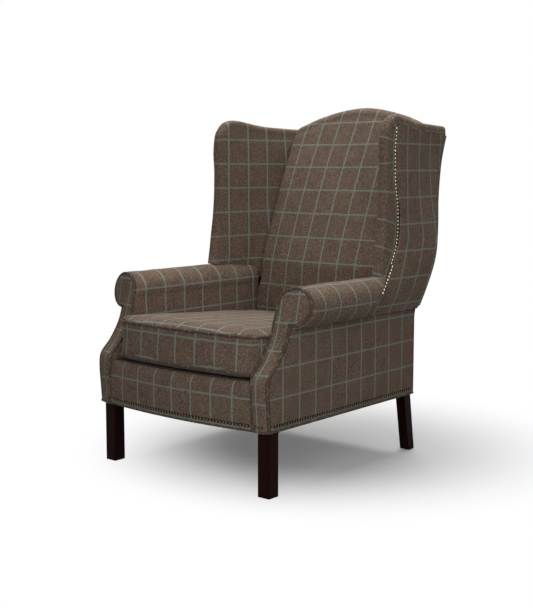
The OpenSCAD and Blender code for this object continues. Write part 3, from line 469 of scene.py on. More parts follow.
# %% The S of the facing
FACING_OUT = HALF_W - 2 * WELT_R - 2 * GAP
FACING_IN = ARM_IN - 3 + 2 * WELT_R + GAP
FACING_MID = (FACING_OUT + FACING_IN) / 2
FACING_Z = ARM_H - FACING_R - 2 * WELT_R - GAP
FACING_SHARES = np.array([[0.07, 0], [0.035, 0.13], [0, 0.28], [0.05, 0.385], [0.38, 0.485],
                          [0.69, 0.62], [0.86, 0.77], [0.97, 0.93], [1, 1.02]])
S_CURVE = spline(FACING_SHARES * [FACING_LEAN, ARM_H - LEG_H] + [-FACING_FRONT, LEG_H], 12)
S_RUN = run(S_CURVE)


def facing_y(x, z):
    """Where the face of the facing lies, front to rear."""
    swept = np.interp(z, S_CURVE[:, 1], S_CURVE[:, 0]) / math.cos(FACING_TURN)
    return swept + (x - FACING_MID) * math.tan(FACING_TURN)


def up_the_s(z):
    return np.interp(z, S_CURVE[:, 1], S_RUN)


def scroll(grow, steps=60):
    """Outline of the facing seen from the front: inside foot, scroll, outside foot."""
    r = FACING_R + grow
    neck = math.degrees(math.asin((ROLL_X - FACING_OUT - grow) / r))
    turn = np.radians(np.linspace(175, -90 - neck, steps))
    arc = join(ROLL_X + r * np.cos(turn), FACING_Z + r * np.sin(turn))
    low = [[FACING_IN - grow, z] for z in np.linspace(LEG_H, FACING_Z - FACING_R, 30)]
    out = [[FACING_OUT + grow, z] for z in np.linspace(FACING_Z - r - 5, LEG_H, 30)]
    return np.concatenate([low, arc, out])


# %% Facing pads
def between(outline, z, left):
    """Edge of an outline at a height, on one side."""
    k = np.argmax(outline[:, 1])
    part = outline[:k + 1] if left else outline[k:][::-1]
    return np.interp(z, np.maximum.accumulate(part[:, 1]), part[:, 0])


def edge_distance(points, outline):
    a, b = outline[:-1], outline[1:]
    d = b - a
    t = np.clip(((points[:, None] - a) * d).sum(-1) / np.maximum((d * d).sum(-1), 1e-9), 0, 1)
    return np.linalg.norm(points[:, None] - (a + t[..., None] * d), axis=-1).min(1)


SIDES = ((1, "left"), (-1, "right"))
FACING_LINE_X, FACING_LINE_STEP = 309.0, 53.0
outline = scroll(0)
neck_z, scroll_top = FACING_Z - FACING_R, FACING_Z + FACING_R
zs = np.r_[np.linspace(LEG_H, neck_z - 1, 60), neck_z + (scroll_top - neck_z) * eased(46)]
share = eased(19)
x = between(outline, zs, True)[:, None] * (1 - share) + between(outline, zs, False)[:, None] * share
z = zs[:, None] + 0 * x
puff = 3.5 * rounded(edge_distance(join(x, z).reshape(-1, 2), outline) / 13).reshape(x.shape)
lumps = ripple(join(x, 0 * x, z), 60, 3)
front = join(x, facing_y(x, z) + 1.5 - puff - 0.5 * lumps * puff / 3.5, z)
under = join(x, facing_y(x, z) + FACING_T - 1, z)
uv = join((x - FACING_LINE_X) * CHECK_ACROSS / FACING_LINE_STEP, up_the_s(z))
path = resample(scroll(WELT_R + 2 * GAP, 90), np.linspace(0, 1, 170))
seam_y = facing_y(path[:, 0], path[:, 1]) + WELT_R
path = join(path[:, 0], seam_y, np.maximum(path[:, 1], LEG_H + 7))
for side, word in SIDES:
    dress(pad(f"facing_pad_{word}", front, uv, under, side), "chair", [f"arm_facing_{word}"])
    piece = tube(f"facing_piping_{word}", path, WELT_R, side=side, up=(0, 1, 0))
    dress(piece, "chair", [f"facing_welt_{word}"], PIPING)
print("facing S is", round(S_RUN[-1]), "mm long")


# %% [markdown]
# ## Arms
# One cloth runs from the seat up the inside of the arm, over the roll and down to the seam beneath it. Its
# outline is a line and an arc, and it is swept from behind the facing to the wing. The inner half runs on
# under the wing to the back, the outer half ends there in a rounded, stuffed end.

# %% Arm covers
WING_NOSE = BASE_D - WING_D
WING_OUT_X = ROLL_X + WING_ROLL_W / 2
ROLL_END = WING_NOSE + 1.45 * WING_ROLL_D
ROLL_END_PLUMP = 3.0
COVER_LOW, COVER_REAR = 300.0, 700.0
# Inside this distance from the middle of the chair the cover runs on to the back
RUN_ON_X = 326.0
ARM_LEVEL_LINE = 455.0


def roll_end_y(x, z):
    return ROLL_END - np.maximum(0, ROLL_END_FALL * (ARM_H - z) / (ARM_H - SEAM_Z)
                                 + math.tan(ROLL_END_TURN) * np.maximum(0, x - WING_OUT_X))


def cover_end_y(x, z):
    return COVER_REAR + (roll_end_y(x, z) - COVER_REAR) * smooth((x - RUN_ON_X) / 14)


POST_FRONT = BASE_D - PANEL_T - GAP - 34
# Where the pale lines fall on each arm: first upright line, its spacing, how far the level lines move up
ARM_LINES = {1: (15.0, 75.0, 22.0), -1: (51.3, 87.0, 0.0)}
straight = np.linspace(COVER_LOW, ROLL_Z - ROLL_R * math.sin(math.radians(14.8)), 26)[:-1]
turn = np.linspace(math.radians(194.8), math.radians(-91), 90)
circle = join(np.cos(turn), np.sin(turn))
line = np.concatenate([join(ARM_IN, straight), ROLL_R * circle + [ROLL_X, ROLL_Z]])
s = run(line)[:, None]
out = np.concatenate([np.tile([-1.0, 0.0], (len(straight), 1)), circle])
outwards = join(out[:, 0], 0, out[:, 1])[:, None]
outer = smooth((line[:, :1] - RUN_ON_X) / 14)
end = cover_end_y(line[:, :1], line[:, 1:])
cols = 64
t = np.linspace(0, 1, cols)[None]
start = facing_y(line[:, :1], line[:, 1:]) + FACING_T - 2
y = start + (end - start) * t
tuck = 7 * (1 - rounded((end - y) / 9)) + 3 * (1 - rounded((y - start) / 8))
hollow = 2.0 * np.sin(math.pi * np.clip((s - 20) / 200, 0, 1)) * np.sin(math.pi * t)
level = join(line[:, :1], y, line[:, 1:])
gathered = np.linspace(0, 0.97, 13)[1:] * np.maximum(outer, 0.05)
plump = ROLL_END_PLUMP * np.sqrt(np.clip(gathered * 2, 0, 1)) - ROLL_END_PLUMP
for side, word in SIDES:
    lumps = ripple(level, 110, 11 if side > 0 else 12) * 1.1 + ripple(level, 45, 13) * 0.35
    front = level + (hollow + lumps - tuck - 0.8)[..., None] * outwards
    under = front - 8 * outwards - join(0, 8 * t, 0)
    caps = []
    for grid, deep in ((front, 0), (under, 8)):
        rim = grid[:, -1:, ::2]
        x, z = np.moveaxis(rim + (np.array([ROLL_X, ROLL_Z]) - rim) * gathered[..., None], -1, 0)
        caps.append(np.concatenate([grid, join(x, cover_end_y(x, z) + plump - deep, z)], 1))
    inward = np.linalg.norm(caps[0][:, cols:] - caps[0][:, cols - 1:cols], axis=-1)
    first, step, phase = ARM_LINES[side]
    uv = join((y - first) * CHECK_ACROSS / step, s - (ARM_LEVEL_LINE - COVER_LOW) - phase)
    uv = np.concatenate([uv, uv[:, -1:] + join(inward, 0)], 1)
    dress(pad(f"arm_cover_{word}", caps[0], uv, caps[1], side), "chair", [f"arm_pad_{word}"])

# %% Outside arm panels
PANEL_LINE_Y, PANEL_LINE_Z = 51.0, 286.0
z = np.linspace(LEG_H + 1, SEAM_Z + 3, 34)[:, None]
start = facing_y(HALF_W, z) + FACING_T - 3
t = np.linspace(0, 1, 56)[None]
y = start + (BASE_D - 9 - start) * t
level = np.clip((z - LEG_H) / (SEAM_Z - LEG_H), 0, 1)
bulge = 2.2 * np.clip(np.sin(math.pi * t), 0, 1) ** 0.6 * np.clip(np.sin(math.pi * level), 0, 1) ** 0.6
front = join(HALF_W - 1.5 + bulge, y, z)
front[..., 0] += 0.6 * ripple(front, 130, 21) * np.sin(math.pi * t)
uv = join(y - PANEL_LINE_Y, z - PANEL_LINE_Z)
for side, word in SIDES:
    piece = pad(f"outside_arm_cover_{word}", front, uv, front - [6, 0, 0], side, flip=True)
    dress(piece, "chair", [f"outside_arm_{word}"])

# %% [markdown]
# ## Front border and the piping round the base
# The border under the cushion bows forward: it is part of a ring about an upright axis far behind the
# chair. Its top edge is rolled over and runs back under the cushion.

# %% Front border
BOW_R = (HALF_W ** 2 + BORDER_BOW ** 2) / (2 * BORDER_BOW)
BOW_Y = BOW_R - BORDER_FRONT


def bow_front(x, r):
    return BOW_Y - np.sqrt(r * r - x * x)


BORDER_LINE_Z = 283.0
# The border in section, from its foot up the face, over the top and down behind: how far out, and how high
profile = spline([[-1.5, LEG_H + 1], [0, LEG_H + 12], [2.2, 230], [2.6, 270], [1.2, 299], [-2, 315],
                  [-8, 324], [-19, 327.5], [-19.5, 300], [-19.5, 240], [-19.5, LEG_H + 1]], 6)
half = FACING_IN - 2 * WELT_R - 2 * GAP
x = np.linspace(-half, half, 90)[None]
grow, z = profile[:, :1], profile[:, 1:]
grow = grow + 0.5 * ripple(join(x, 0 * z, z), 90, 31)
front = join(x, bow_front(x, BOW_R + grow), z)
uv = join(x, run(profile)[:, None] - (BORDER_LINE_Z - LEG_H - 1))
rows, cols = front.shape[:2]
last = (rows - 1) * cols
faces = grid_faces(rows, cols) + [[j, last + j, last + j + 1, j + 1] for j in range(cols - 1)]
faces += [[*range(0, rows * cols, cols)], [*range(cols - 1, rows * cols, cols)][::-1]]
border = make("front_border_cover", front.reshape(-1, 3), faces, uv.reshape(-1, 2))
dress(border, "chair", ["front_border"])

# %% Piping round the base
# The middle of the piping lies this far outside the cloth; below zero, it is sunk into the seam
off = -1.0
half = FACING_IN - 2 * WELT_R
side_y = float(facing_y(FACING_OUT, LEG_H + 8))


def turned_corner(x, y, first, last):
    turn = np.radians(np.linspace(first, last, 9))
    return (join(np.cos(turn), np.sin(turn)) * (2.0 + off) + [x, y]).tolist()


bow = [[v, bow_front(v, BOW_R + off)] for v in np.linspace(-half, half, 60)]
right = [[FACING_IN, float(facing_y(FACING_IN, LEG_H + 8)) - off]]
right += turned_corner(HALF_W - 2, side_y + 2, -82, 0) + [[HALF_W + off, BASE_D / 2]]
right += turned_corner(HALF_W - 2, BASE_D - 2, 0, 90) + [[100, BASE_D + off]]
path = np.array(bow + right + [[-a, b] for a, b in right[::-1]])
path = resample(np.vstack([path, path[:1]]), np.linspace(0, 1, 420, endpoint=False))
piece = tube("base_piping", join(path[:, 0], path[:, 1], LEG_H + WELT_R), WELT_R - 0.5, closed=True)
dress(piece, "chair", ["base_welt"], PIPING)

# %% [markdown]
# ## Back
# The inside back is one padded cloth that starts behind the cushion, leans back above the knee of the
# posts, swells a little in the middle, and turns over the camel-shaped crest to a seam just below it. Its
# sides are rounded too, and dive into the dark valley beside each wing.

# %% Back surfaces
BACK_BOTTOM = BORDER_H - (BASE_D - BACK_T + BORDER_FRONT / 2) * math.tan(SEAT_TILT) + GAP
# How thick the padding is on the way up, as shares of its height and of BACK_T
BACK_SHARES = spline([[0, 0.6], [0.2, 0.6], [0.25, 0.74], [0.33, 0.92], [0.4, 1], [0.66, 0.94],
                      [0.83, 0.83], [0.92, 0.75], [1, 0.68]], 6)


def back_rear(z):
    return BASE_D + RAKE * np.maximum(0, z - KNEE_Z)


def back_share(z):
    return (z - BACK_BOTTOM) / (CREST_H - BACK_BOTTOM)


def back_front(z):
    return back_rear(z) - BACK_T * np.interp(back_share(z), BACK_SHARES[:, 0], BACK_SHARES[:, 1])


def crest_z(x):
    return CREST_H - CREST_DROP * np.minimum(1, np.abs(x) / BACK_HALF) ** 1.8


def swell(x, z):
    across = np.clip(1 - (x / BACK_HALF) ** 2, 0, 1)
    return BACK_CROWN * across * np.sin(math.pi * (0.05 + 0.95 * np.clip(back_share(z), 0, 1)))


# %% Inside back
CORNER = 20.0
u_flat = np.linspace(-1, 1, 61)
u_turn = np.linspace(0, math.pi / 2, 8)[1:]
u_side = np.linspace(0, 1, 6)[1:] * 45
turn_in = np.r_[(1 - np.sin(u_turn)) * CORNER, 0 * u_side]
turn_back = np.r_[(1 - np.cos(u_turn)) * CORNER, CORNER + u_side]
x_of = np.r_[-np.ones(len(turn_in)), u_flat, np.ones(len(turn_in))]
x_in = np.r_[turn_in[::-1], np.full(len(u_flat), CORNER), turn_in]
y_in = np.r_[turn_back[::-1], 0 * u_flat, turn_back]


def into_valley(x, z, deep):
    """How far a side point lies behind the face, stopped short of the outside back."""
    room = back_rear(z) - 19 - (back_front(z) - swell(x, z))
    return np.where(deep > CORNER, CORNER + (deep - CORNER) * np.minimum(1, (room - CORNER) / 45), deep)


low_rows, high_rows, arch_rows = 14, 60, 20
z_low = BACK_BOTTOM + 10 + (ROLL_Z - BACK_BOTTOM - 10) * np.arange(low_rows)[:, None] / low_rows + 0 * x_of
x_low = x_of * (ARM_IN - 1.5 - 17 * smooth((z_low - 470) / 70) - x_in)
x_high = x_of * (BACK_HALF - x_in)
shoulder = crest_z(x_high) - ARCH_R - y_in * 0.35
z_high = ROLL_Z + (shoulder - ROLL_Z) * np.arange(high_rows)[:, None] / high_rows
x, z = np.vstack([x_low, x_high + 0 * z_high]), np.vstack([z_low, z_high])
face = join(x, back_front(z) - swell(x, z) + into_valley(x, z, y_in), z)
turn = math.pi * (np.arange(arch_rows)[:, None] + 1) / arch_rows - math.pi / 2
rear = back_rear(shoulder) - (ARCH_R - y_in * 0.35) * (1 - np.sin(turn))
front = np.concatenate([face, join(x_high, rear, shoulder + ARCH_R * np.cos(turn))])
up = np.cumsum(np.linalg.norm(np.diff(front, axis=0, prepend=front[:1]), axis=-1), axis=0)
around = run(front[40])
around = around - around[-1] / 2 - 2
BACK_LINE_STEP, BACK_LEVEL_STEP, FIRST_LEVEL = 72.0, 86.5, 72.0
up = up - up[low_rows] - FIRST_LEVEL
uv = join(around * CHECK_ACROSS / BACK_LINE_STEP, up * CHECK_UP / BACK_LEVEL_STEP)
from_low = np.arange(len(front))[:, None]
calm = smooth(np.minimum(from_low, from_low[::-1]) / 6)
lumps = calm * (ripple(front, 150, 41) * 1.2 + ripple(front, 60, 42) * 0.4)
front = front - normals(front) * lumps[..., None]
under = front + [0, 10, 0]
under[len(face):] = front[len(face):] - [0, 0, 8]
under[..., 0] *= 0.97
dress(pad("inside_back_cover", front, uv, under), "chair", ["inside_back"])

# %% [markdown]
# ## Wings
# In side view a wing is one curve, from the arm up to a soft corner and back to the crest. A padded roll
# follows that curve, a row of nail heads closes its outer band, and two cloths fill the inside and
# outside.

# %% The curve of the wing
WING_SPAN = WING_H - ARM_H
WING_TOP_D = float(back_rear(WING_H)) - PANEL_T - GAP - WING_NOSE
WING_SHARES = [[0, 0], [0.032, 0.2], [0.06, 0.4], [0.07, 0.6], [0.065, 0.8],
               [0.1, 0.93], [0.225, 1], [0.56, 0.965], [1, 0.95]]
BAND_SHARES = [1.45, 3.5, 3.4, 2.3, 2.3, 2.2, 1.3, 1.25, 1.25]
FINE = 9
EDGE = spline([[WING_NOSE + a * WING_TOP_D, ARM_H + GAP + b * WING_SPAN] for a, b in WING_SHARES], FINE)
BAND = spline(np.c_[np.array(BAND_SHARES) * WING_ROLL_D, np.zeros(9)], FINE)[:, 0]
CORNER_I = int(17 / 3 * FINE)
way = np.gradient(EDGE, axis=0)
way /= np.linalg.norm(way, axis=1, keepdims=True)
INWARD = join(way[:, 1], -way[:, 0])


def wing_inset(depth):
    return EDGE + np.asarray(depth)[..., None] * INWARD


def wing_x(y):
    return ROLL_X - (y - WING_NOSE) * math.tan(WING_TURN)


def patch(low, high, front, rear, rows, cols):
    """Points spread between four boundary curves."""
    s, t = np.linspace(0, 1, cols), np.linspace(0, 1, rows)
    lo, hi = resample(low, s), resample(high, s)
    fr, re = resample(front, t), resample(rear, t)
    ss, tt = s[None, :, None], t[:, None, None]
    flat = (1 - ss) * (1 - tt) * lo[0] + ss * (1 - tt) * lo[-1] + (1 - ss) * tt * hi[0] + ss * tt * hi[-1]
    return (1 - tt) * lo[None] + tt * hi[None] + (1 - ss) * fr[:, None] + ss * re[:, None] - flat


# %% Wing rolls
ROLL_SHARES = spline([[1, -1], [0.4, -0.94], [0.08, -0.6], [0, 0], [0.08, 0.6], [0.4, 0.94], [1, 1]], 4)
# Where the pale lines fall outside and inside the wings: first upright line, its spacing, first level line
OUTER_LINE_Y, OUTER_SPACING, OUTER_LEVEL = 642.0, 80.0, 580.0
WING_LINES = {1: (None, 130.0, 600.5), -1: (568.0, 89.0, 602.0)}
half = WING_ROLL_W / 2
face_of_roll = [(WING_ROLL_D + 5, -half + 1.4), (WING_ROLL_D + 1.5, -half + 0.3)]
face_of_roll += [(a * WING_ROLL_D, b * half) for a, b in ROLL_SHARES]
hidden_side = [(WING_ROLL_D + 6, half - 7), (WING_ROLL_D + 6, -half + 4)]
for side, word in SIDES:
    first, spacing, level = WING_LINES[side]
    rings, uvs = [], []
    for i in range(len(EDGE)):
        deep = np.linspace(WING_ROLL_D, BAND[i], 9)[1:]
        band = [(d, half + 1.2 * math.sin(math.pi * k / 8)) for k, d in enumerate(deep, 1)]
        section = np.array(face_of_roll + band + [(BAND[i] + 0.5, half - 5)] + hidden_side)
        over_edge = run(section[:-3]) - 5.2
        over_edge = np.r_[over_edge, over_edge[-1] + 5, over_edge[-1] + 9, over_edge[-1] + 12]
        p = EDGE[i] + section[:, :1] * INWARD[i]
        rings.append(join(wing_x(p[:, 0]) + section[:, 1], p[:, 0], np.maximum(p[:, 1], ARM_H - 3)))
        u = EDGE[i] + WING_ROLL_D * INWARD[i] - over_edge[:, None] * INWARD[i]
        u, v = (u[:, 0] - first if first else over_edge[-5] - 9 - over_edge), u[:, 1]
        if side > 0 and i > CORNER_I:
            u, v = (p[:, 0] - OUTER_LINE_Y) * spacing / OUTER_SPACING, 1045 - over_edge
        uvs.append(join(u * CHECK_ACROSS / spacing, v - level))
    front = np.array(rings)
    front[..., 0] += 0.5 * ripple(front, 70, 51)
    uv = np.array(uvs).reshape(-1, 2)
    piece = make(f"wing_roll_cover_{word}", front.reshape(-1, 3), stack_faces(*front.shape[:2]), uv, side)
    dress(piece, "chair", [f"wing_roll_{word}"])


# %% Inside wings
def post_line(z):
    return POST_FRONT - 2 * GAP + np.maximum(0, RAKE * (z - KNEE_Z))


def roll_top(x):
    return ROLL_Z + np.sqrt(np.maximum(0, ROLL_R ** 2 - (ROLL_X - x) ** 2))


inset = wing_inset(np.full(len(EDGE), WING_ROLL_D))
fr, hi = inset[:CORNER_I + 1], inset[CORNER_I:]
rear = np.array([[float(post_line(ARM_H)), ARM_H], hi[-1]])
rows, cols = 50, 36
y, z = np.moveaxis(patch(np.array([fr[0], rear[0]]), hi, fr, rear, rows, cols), -1, 0)
s = np.linspace(0, 1, cols)[None, :]
t = np.linspace(0, 1, rows)[:, None]
turn_in = np.maximum(0, (s - 0.62) / 0.38) ** 2
x = (wing_x(y) - WING_ROLL_W / 2) * (1 - turn_in) + (BACK_HALF + GAP) * turn_in
seat = roll_top(x) - 2
z = np.where(t < 0.06, seat + (z - seat) * np.clip(t / 0.06, 0, 1), z)
calm = smooth(s * 5) * smooth(t * 9) * smooth((1 - t) * 6)
tuck = 4 * (1 - smooth(t * 22))
front = join(x + tuck - WELT_R * np.sin(math.pi * s) * calm, y, z)
front[..., 0] -= 0.9 * ripple(front, 120, 61) * calm
under = join(np.maximum(wing_x(y) - 7.5, front[..., 0] + 3), y, z)
for side, word in SIDES:
    first, spacing, level = WING_LINES[side]
    uv = join((y - (first or 601)) * CHECK_ACROSS / (spacing if first else CHECK_ACROSS), z - level)
    piece = pad(f"inside_wing_cover_{word}", front, uv, under, side)
    dress(piece, "chair", [f"inside_wing_{word}"])

# %% Outside wings
BELLY = spline([[0, 0.32], [0.08, 0.62], [0.16, 0.86], [0.25, 1], [0.33, 0.91], [0.45, 0.52],
                [0.54, 0.16], [0.62, -0.1], [0.7, -0.3], [0.79, -0.46], [0.92, -0.47], [1, -0.4]], 8)


def belly_x(z):
    return HALF_W + WING_BELLY * np.interp((z - SEAM_Z) / (WING_H - SEAM_Z), BELLY[:, 0], BELLY[:, 1])


past = wing_inset(BAND + GAP)
low_z = np.array([SEAM_Z + 1, ROLL_Z])
fr = np.vstack([join(roll_end_y(WING_OUT_X, low_z), low_z), past[:CORNER_I + 1]])
hi = past[CORNER_I:]
zr = np.linspace(SEAM_Z + 1, hi[-1, 1], 30)
rear = join(back_rear(zr) - PANEL_T - 0.5, zr)
rows, cols = 70, 44
y, z = np.moveaxis(patch(np.array([fr[0], rear[0]]), hi, fr, rear, rows, cols), -1, 0)
s = np.linspace(0, 1, cols)[None, :]
rise = np.clip((z - SEAM_Z) / ROLL_R, 0, 1)
lead = HALF_W + PANEL_T / 2 + (WING_OUT_X - HALF_W - PANEL_T / 2) * rise
x = lead * (1 - s) + belly_x(z) * s + WELT_R * np.sin(math.pi * s) * rise
calm = smooth(np.minimum(s * 14, (1 - s) * 14))
front = join(x - 2 * (1 - calm), y, z)
front[..., 0] += 0.7 * ripple(front, 130, 71) * calm
from_line = y + RAKE * np.maximum(0, 700 - z) - OUTER_LINE_Y
uv = join(from_line * CHECK_ACROSS / OUTER_SPACING, z - OUTER_LEVEL)
for side, word in SIDES:
    piece = pad(f"outside_wing_cover_{word}", front, uv, front - [5, 0, 0], side, flip=True)
    dress(piece, "chair", [f"outside_wing_{word}"])

# %% [markdown]
# ## Outside back
# A flat padded cloth closes the rear, blind-stitched along the crest and down both rear corners.

# %% Outside back
WING_TOP_Z = float(crest_z(BACK_HALF)) - ARCH_R - 3 * GAP
t = np.linspace(0, 1, 70)[:, None]
s = np.linspace(-1, 1, 60)[None]
crest = crest_z(s * belly_x(WING_TOP_Z)) - ARCH_R - 3 * GAP
z = LEG_H + 1 + (crest - LEG_H - 1) * t
half = np.where(z > SEAM_Z, belly_x(np.minimum(z, WING_TOP_Z)), HALF_W)
front = join(s * half, 0.0, z)
calm = smooth(np.minimum((1 - np.abs(s)) * 16, np.minimum(t * 20, (1 - t) * 20)))
front[..., 1] = back_rear(z) - 2.5 * (1 - calm) - 0.5 + 0.8 * ripple(front, 160, 81) * calm
up = np.where(z > KNEE_Z, KNEE_Z + (z - KNEE_Z) * math.hypot(1, RAKE), z)
uv = join(front[..., 0], up - PANEL_LINE_Z)
piece = pad("outside_back_cover", front, uv, front - [0, 6, 0], flip=True)
dress(piece, "chair", ["outside_back"])


# %% [markdown]
# ## Nail heads
# Each nail head is a low dome of antiqued brass. Driven by hand, they lean a little this way and that,
# which is what makes a row of them glint; their pale crowns carry painted glints too. A row is one mesh,
# and each head takes its own small tilt from a seeded draw.

# %% Nail heads
DOME = np.array([[1.0, 0.0], [1.0, 0.12], [0.9, 0.45], [0.7, 0.72], [0.42, 0.92], [0.0, 1.0]])


def heads(name, places, outs, nodes, seed, side=1, metal=SHADED_BRASS):
    rng = np.random.default_rng(seed)
    ring = 14
    turn = 2 * math.pi * np.arange(ring) / ring
    points, faces, crown_distance = [], [], []
    for p, out in zip(places, outs):
        out = np.asarray(out, float) + rng.normal(0, 0.05, 3)
        out /= np.linalg.norm(out)
        a = np.cross(out, [0, 0, 1] if abs(out[2]) < 0.9 else [0, 1, 0])
        a /= np.linalg.norm(a)
        b = np.cross(out, a)
        start = len(points)
        for r, h in DOME[:-1] * [STUD_D / 2, STUD_H]:
            points += [p + r * (math.cos(q) * a + math.sin(q) * b) + h * out for q in turn]
            # Distance from the crown, which the brass turns into a painted glint
            crown_distance += [[r, 0]] * ring
        points.append(p + STUD_H * out)
        crown_distance.append([0, 0])
        faces += grid_faces(len(DOME) - 1, ring, start, loop=True)
        faces += fan(len(points) - 1 - ring, ring, len(points) - 1)
        faces.append([*range(start, start + ring)][::-1])
    piece = make(name, np.array(points), faces, np.array(crown_distance), side, crease=40)
    dress(piece, "chair", nodes, metal)
    return len(places)


STUD_Z = LEG_H + 2 * WELT_R + STUD_D
count = 0
half = FACING_IN - 2 * WELT_R - STUD_D
turn = math.asin(half / BOW_R)
n = int(2 * turn * BOW_R / STUD_PITCH)
angle = np.linspace(-turn, turn, n + 1)
places = join(BOW_R * np.sin(angle), BOW_Y - (BOW_R + 0.8) * np.cos(angle), STUD_Z)
outs = join(np.sin(angle), -np.cos(angle), 0)
count += heads("border_nail_heads", places, outs, ["base_studs_front"], 91)
n = int((FACING_OUT - FACING_IN - STUD_D) / STUD_PITCH)
x = FACING_IN + STUD_D / 2 + GAP + STUD_PITCH * np.arange(n + 1)
first = float(facing_y(HALF_W, STUD_Z)) + FACING_T + STUD_D
y = np.arange(first, BASE_D - PANEL_T - STUD_D, STUD_PITCH)
base = np.vstack([join(x, facing_y(x, STUD_Z) - 1.2, STUD_Z), join(HALF_W - 0.6, y, STUD_Z)])
base_outs = [[math.sin(FACING_TURN), -math.cos(FACING_TURN), 0]] * len(x) + [[1, 0, 0]] * len(y)
low_z = np.array([ROLL_Z + STUD_D, ARM_H])
line = np.vstack([join(roll_end_y(WING_OUT_X, low_z) + STUD_D / 2 + GAP, low_z),
                  wing_inset(BAND - STUD_D / 2 - GAP)[5:CORNER_I + 2]])
y, z = resample(line, np.arange(0, run(line)[-1], STUD_PITCH) / run(line)[-1]).T
wing = join(np.where(z < EDGE[4, 1], WING_OUT_X + 1, wing_x(y) + WING_ROLL_W / 2 + 0.9), y, z)
wing_outs = [[math.cos(WING_TURN), math.sin(WING_TURN), 0]] * len(wing)
for side, word in SIDES:
    count += heads(f"base_nail_heads_{word}", base, base_outs, [f"base_studs_{word}"], 92, side)
    count += heads(f"wing_nail_heads_{word}", wing, wing_outs, [f"wing_studs_{word}"], 93, side, BRASS)
print(count, "nail heads")

# %% [markdown]
# ## Stuffing
# Stuffed cloth takes its shape from two things: it is pushed out everywhere by what is inside, and held in
# where it is sewn. Cloth simulation does the same: the closed cover gets pressure from inside, its sewn
# points are pinned, and after twenty steps the new shape is kept, with a cap on how far a point has moved.

# %% Let a closed cover swell
def stuff(piece, sewn, cap_mm, pressure=4.0, steps=20):
    scene = bpy.context.scene
    group = piece.vertex_groups.new(name="sewn")
    group.add([int(i) for i in sewn], 1.0, "REPLACE")
    cloth = piece.modifiers.new("stuffing", "CLOTH")
    cloth.settings.use_pressure = True
    cloth.settings.uniform_pressure_force = pressure
    cloth.settings.effector_weights.gravity = 0
    cloth.settings.vertex_group_mass = group.name
    cloth.settings.quality = 4
    cloth.point_cache.frame_start, cloth.point_cache.frame_end = 1, steps
    for frame_number in range(1, steps + 1):
        scene.frame_set(frame_number)
    n = len(piece.data.vertices)
    before, after = np.zeros(n * 3), np.zeros(n * 3)
    piece.data.vertices.foreach_get("co", before)
    piece.evaluated_get(bpy.context.evaluated_depsgraph_get()).data.vertices.foreach_get("co", after)
    move = (after - before).reshape(-1, 3)
    far = np.maximum(np.linalg.norm(move, axis=1, keepdims=True), 1e-9)
    move *= np.minimum(1, cap_mm * MM / far)
    piece.modifiers.remove(cloth)
    piece.vertex_groups.remove(group)
    piece.data.vertices.foreach_set("co", before + move.ravel())
    piece.data.update()
    scene.frame_set(1)
    print(piece.name, "swelled by up to", round(float(np.linalg.norm(move, axis=1).max()) / MM, 1), "mm")


# %% [markdown]
# ## The loose cushion
# The cushion is two shaped panels and a boxing strip between them, with a piping sewn into each seam. Its
# rings are soft rectangles that close in towards the crown. It is drawn level, then laid on the sloping
# deck.

# %% Cushion outline
CUSHION_HALF = ARM_IN - CUSHION_GAP
CUSHION_BOW = BORDER_BOW * (CUSHION_HALF / HALF_W) ** 2
DECK_Y = -BORDER_FRONT / 2
CUSHION_FRONT = -BORDER_FRONT + CUSHION_SETBACK - DECK_Y
RISE = 4 * WELT_R
WELT_LOW = GAP + RISE
WELT_HIGH = WELT_LOW + CUSHION_T
quarter = np.interp(np.linspace(0, 1, 25), np.linspace(0, 1, 15),
                    [0, 0.3, 1.5, 5, 12, 22, 34, 45, 56, 68, 78, 85, 88.5, 89.7, 90])[:-1]
ANGLES = np.radians(np.concatenate([quarter + 90 * q for q in range(4)]))


def squared(v, corner):
    """A sine or cosine pushed out towards 1, which squares a circle up to small round corners."""
    return np.sign(v) * np.abs(v) ** corner


def ring(inset, z, corner=0.1):
    u, v = squared(np.cos(ANGLES), corner), squared(np.sin(ANGLES), corner)
    half_d = (CUSHION_D - 2 * inset) / 2
    middle = CUSHION_FRONT + CUSHION_BOW + (CUSHION_D - CUSHION_BOW) / 2
    y = middle + v * (half_d - CUSHION_BOW / 2) - np.where(v < 0, CUSHION_BOW * (1 - u * u), 0)
    return join(u * (CUSHION_HALF - inset), y, z)


def on_deck(p):
    c, s = math.cos(SEAT_TILT), math.sin(SEAT_TILT)
    p = np.asarray(p, float)
    return join(p[..., 0], DECK_Y + p[..., 1] * c + p[..., 2] * s, BORDER_H + p[..., 2] * c - p[..., 1] * s)


# %% Cushion cover
# Each ring of the cover is how far in from the edge it lies, and its height
side_rings = [(96, GAP), (60, GAP + 0.02 * RISE), (34, GAP + 0.1 * RISE), (18, GAP + 0.3 * RISE)]
side_rings += [(10, GAP + 0.6 * RISE), (WELT_R, WELT_LOW - 5), (2.4 * WELT_R, WELT_LOW)]
for k in range(1, 10):
    side_rings.append((WELT_R + 2.5 + 3 * math.sin(math.pi * k / 10), WELT_LOW + CUSHION_T * k / 10))
side_rings += [(2.4 * WELT_R, WELT_HIGH), (WELT_R, WELT_HIGH + 5)]
crown = [(12, 0.42), (24, 0.6), (45, 0.75), (80, 0.88), (120, 0.95), (165, 0.99), (215, 1.0)]
side_rings += [(a, WELT_HIGH + 4 + b * (CUSHION_CROWN - 10)) for a, b in crown]
SEAM_LOW, SEAM_HIGH = 6, 16
grid = np.array([ring(a, z) for a, z in side_rings])
flat = grid[..., :2].copy()
bump = 1.3 * ripple(grid, 140, 101) + 0.5 * ripple(grid, 50, 102)
grid[SEAM_HIGH + 1:, :, 2] += bump[SEAM_HIGH + 1:]
m = grid.shape[1]
box_uv = join(run(grid[10])[None], np.linspace(0, CUSHION_T, 11)[:, None])
points, uvs, faces = [], [], []
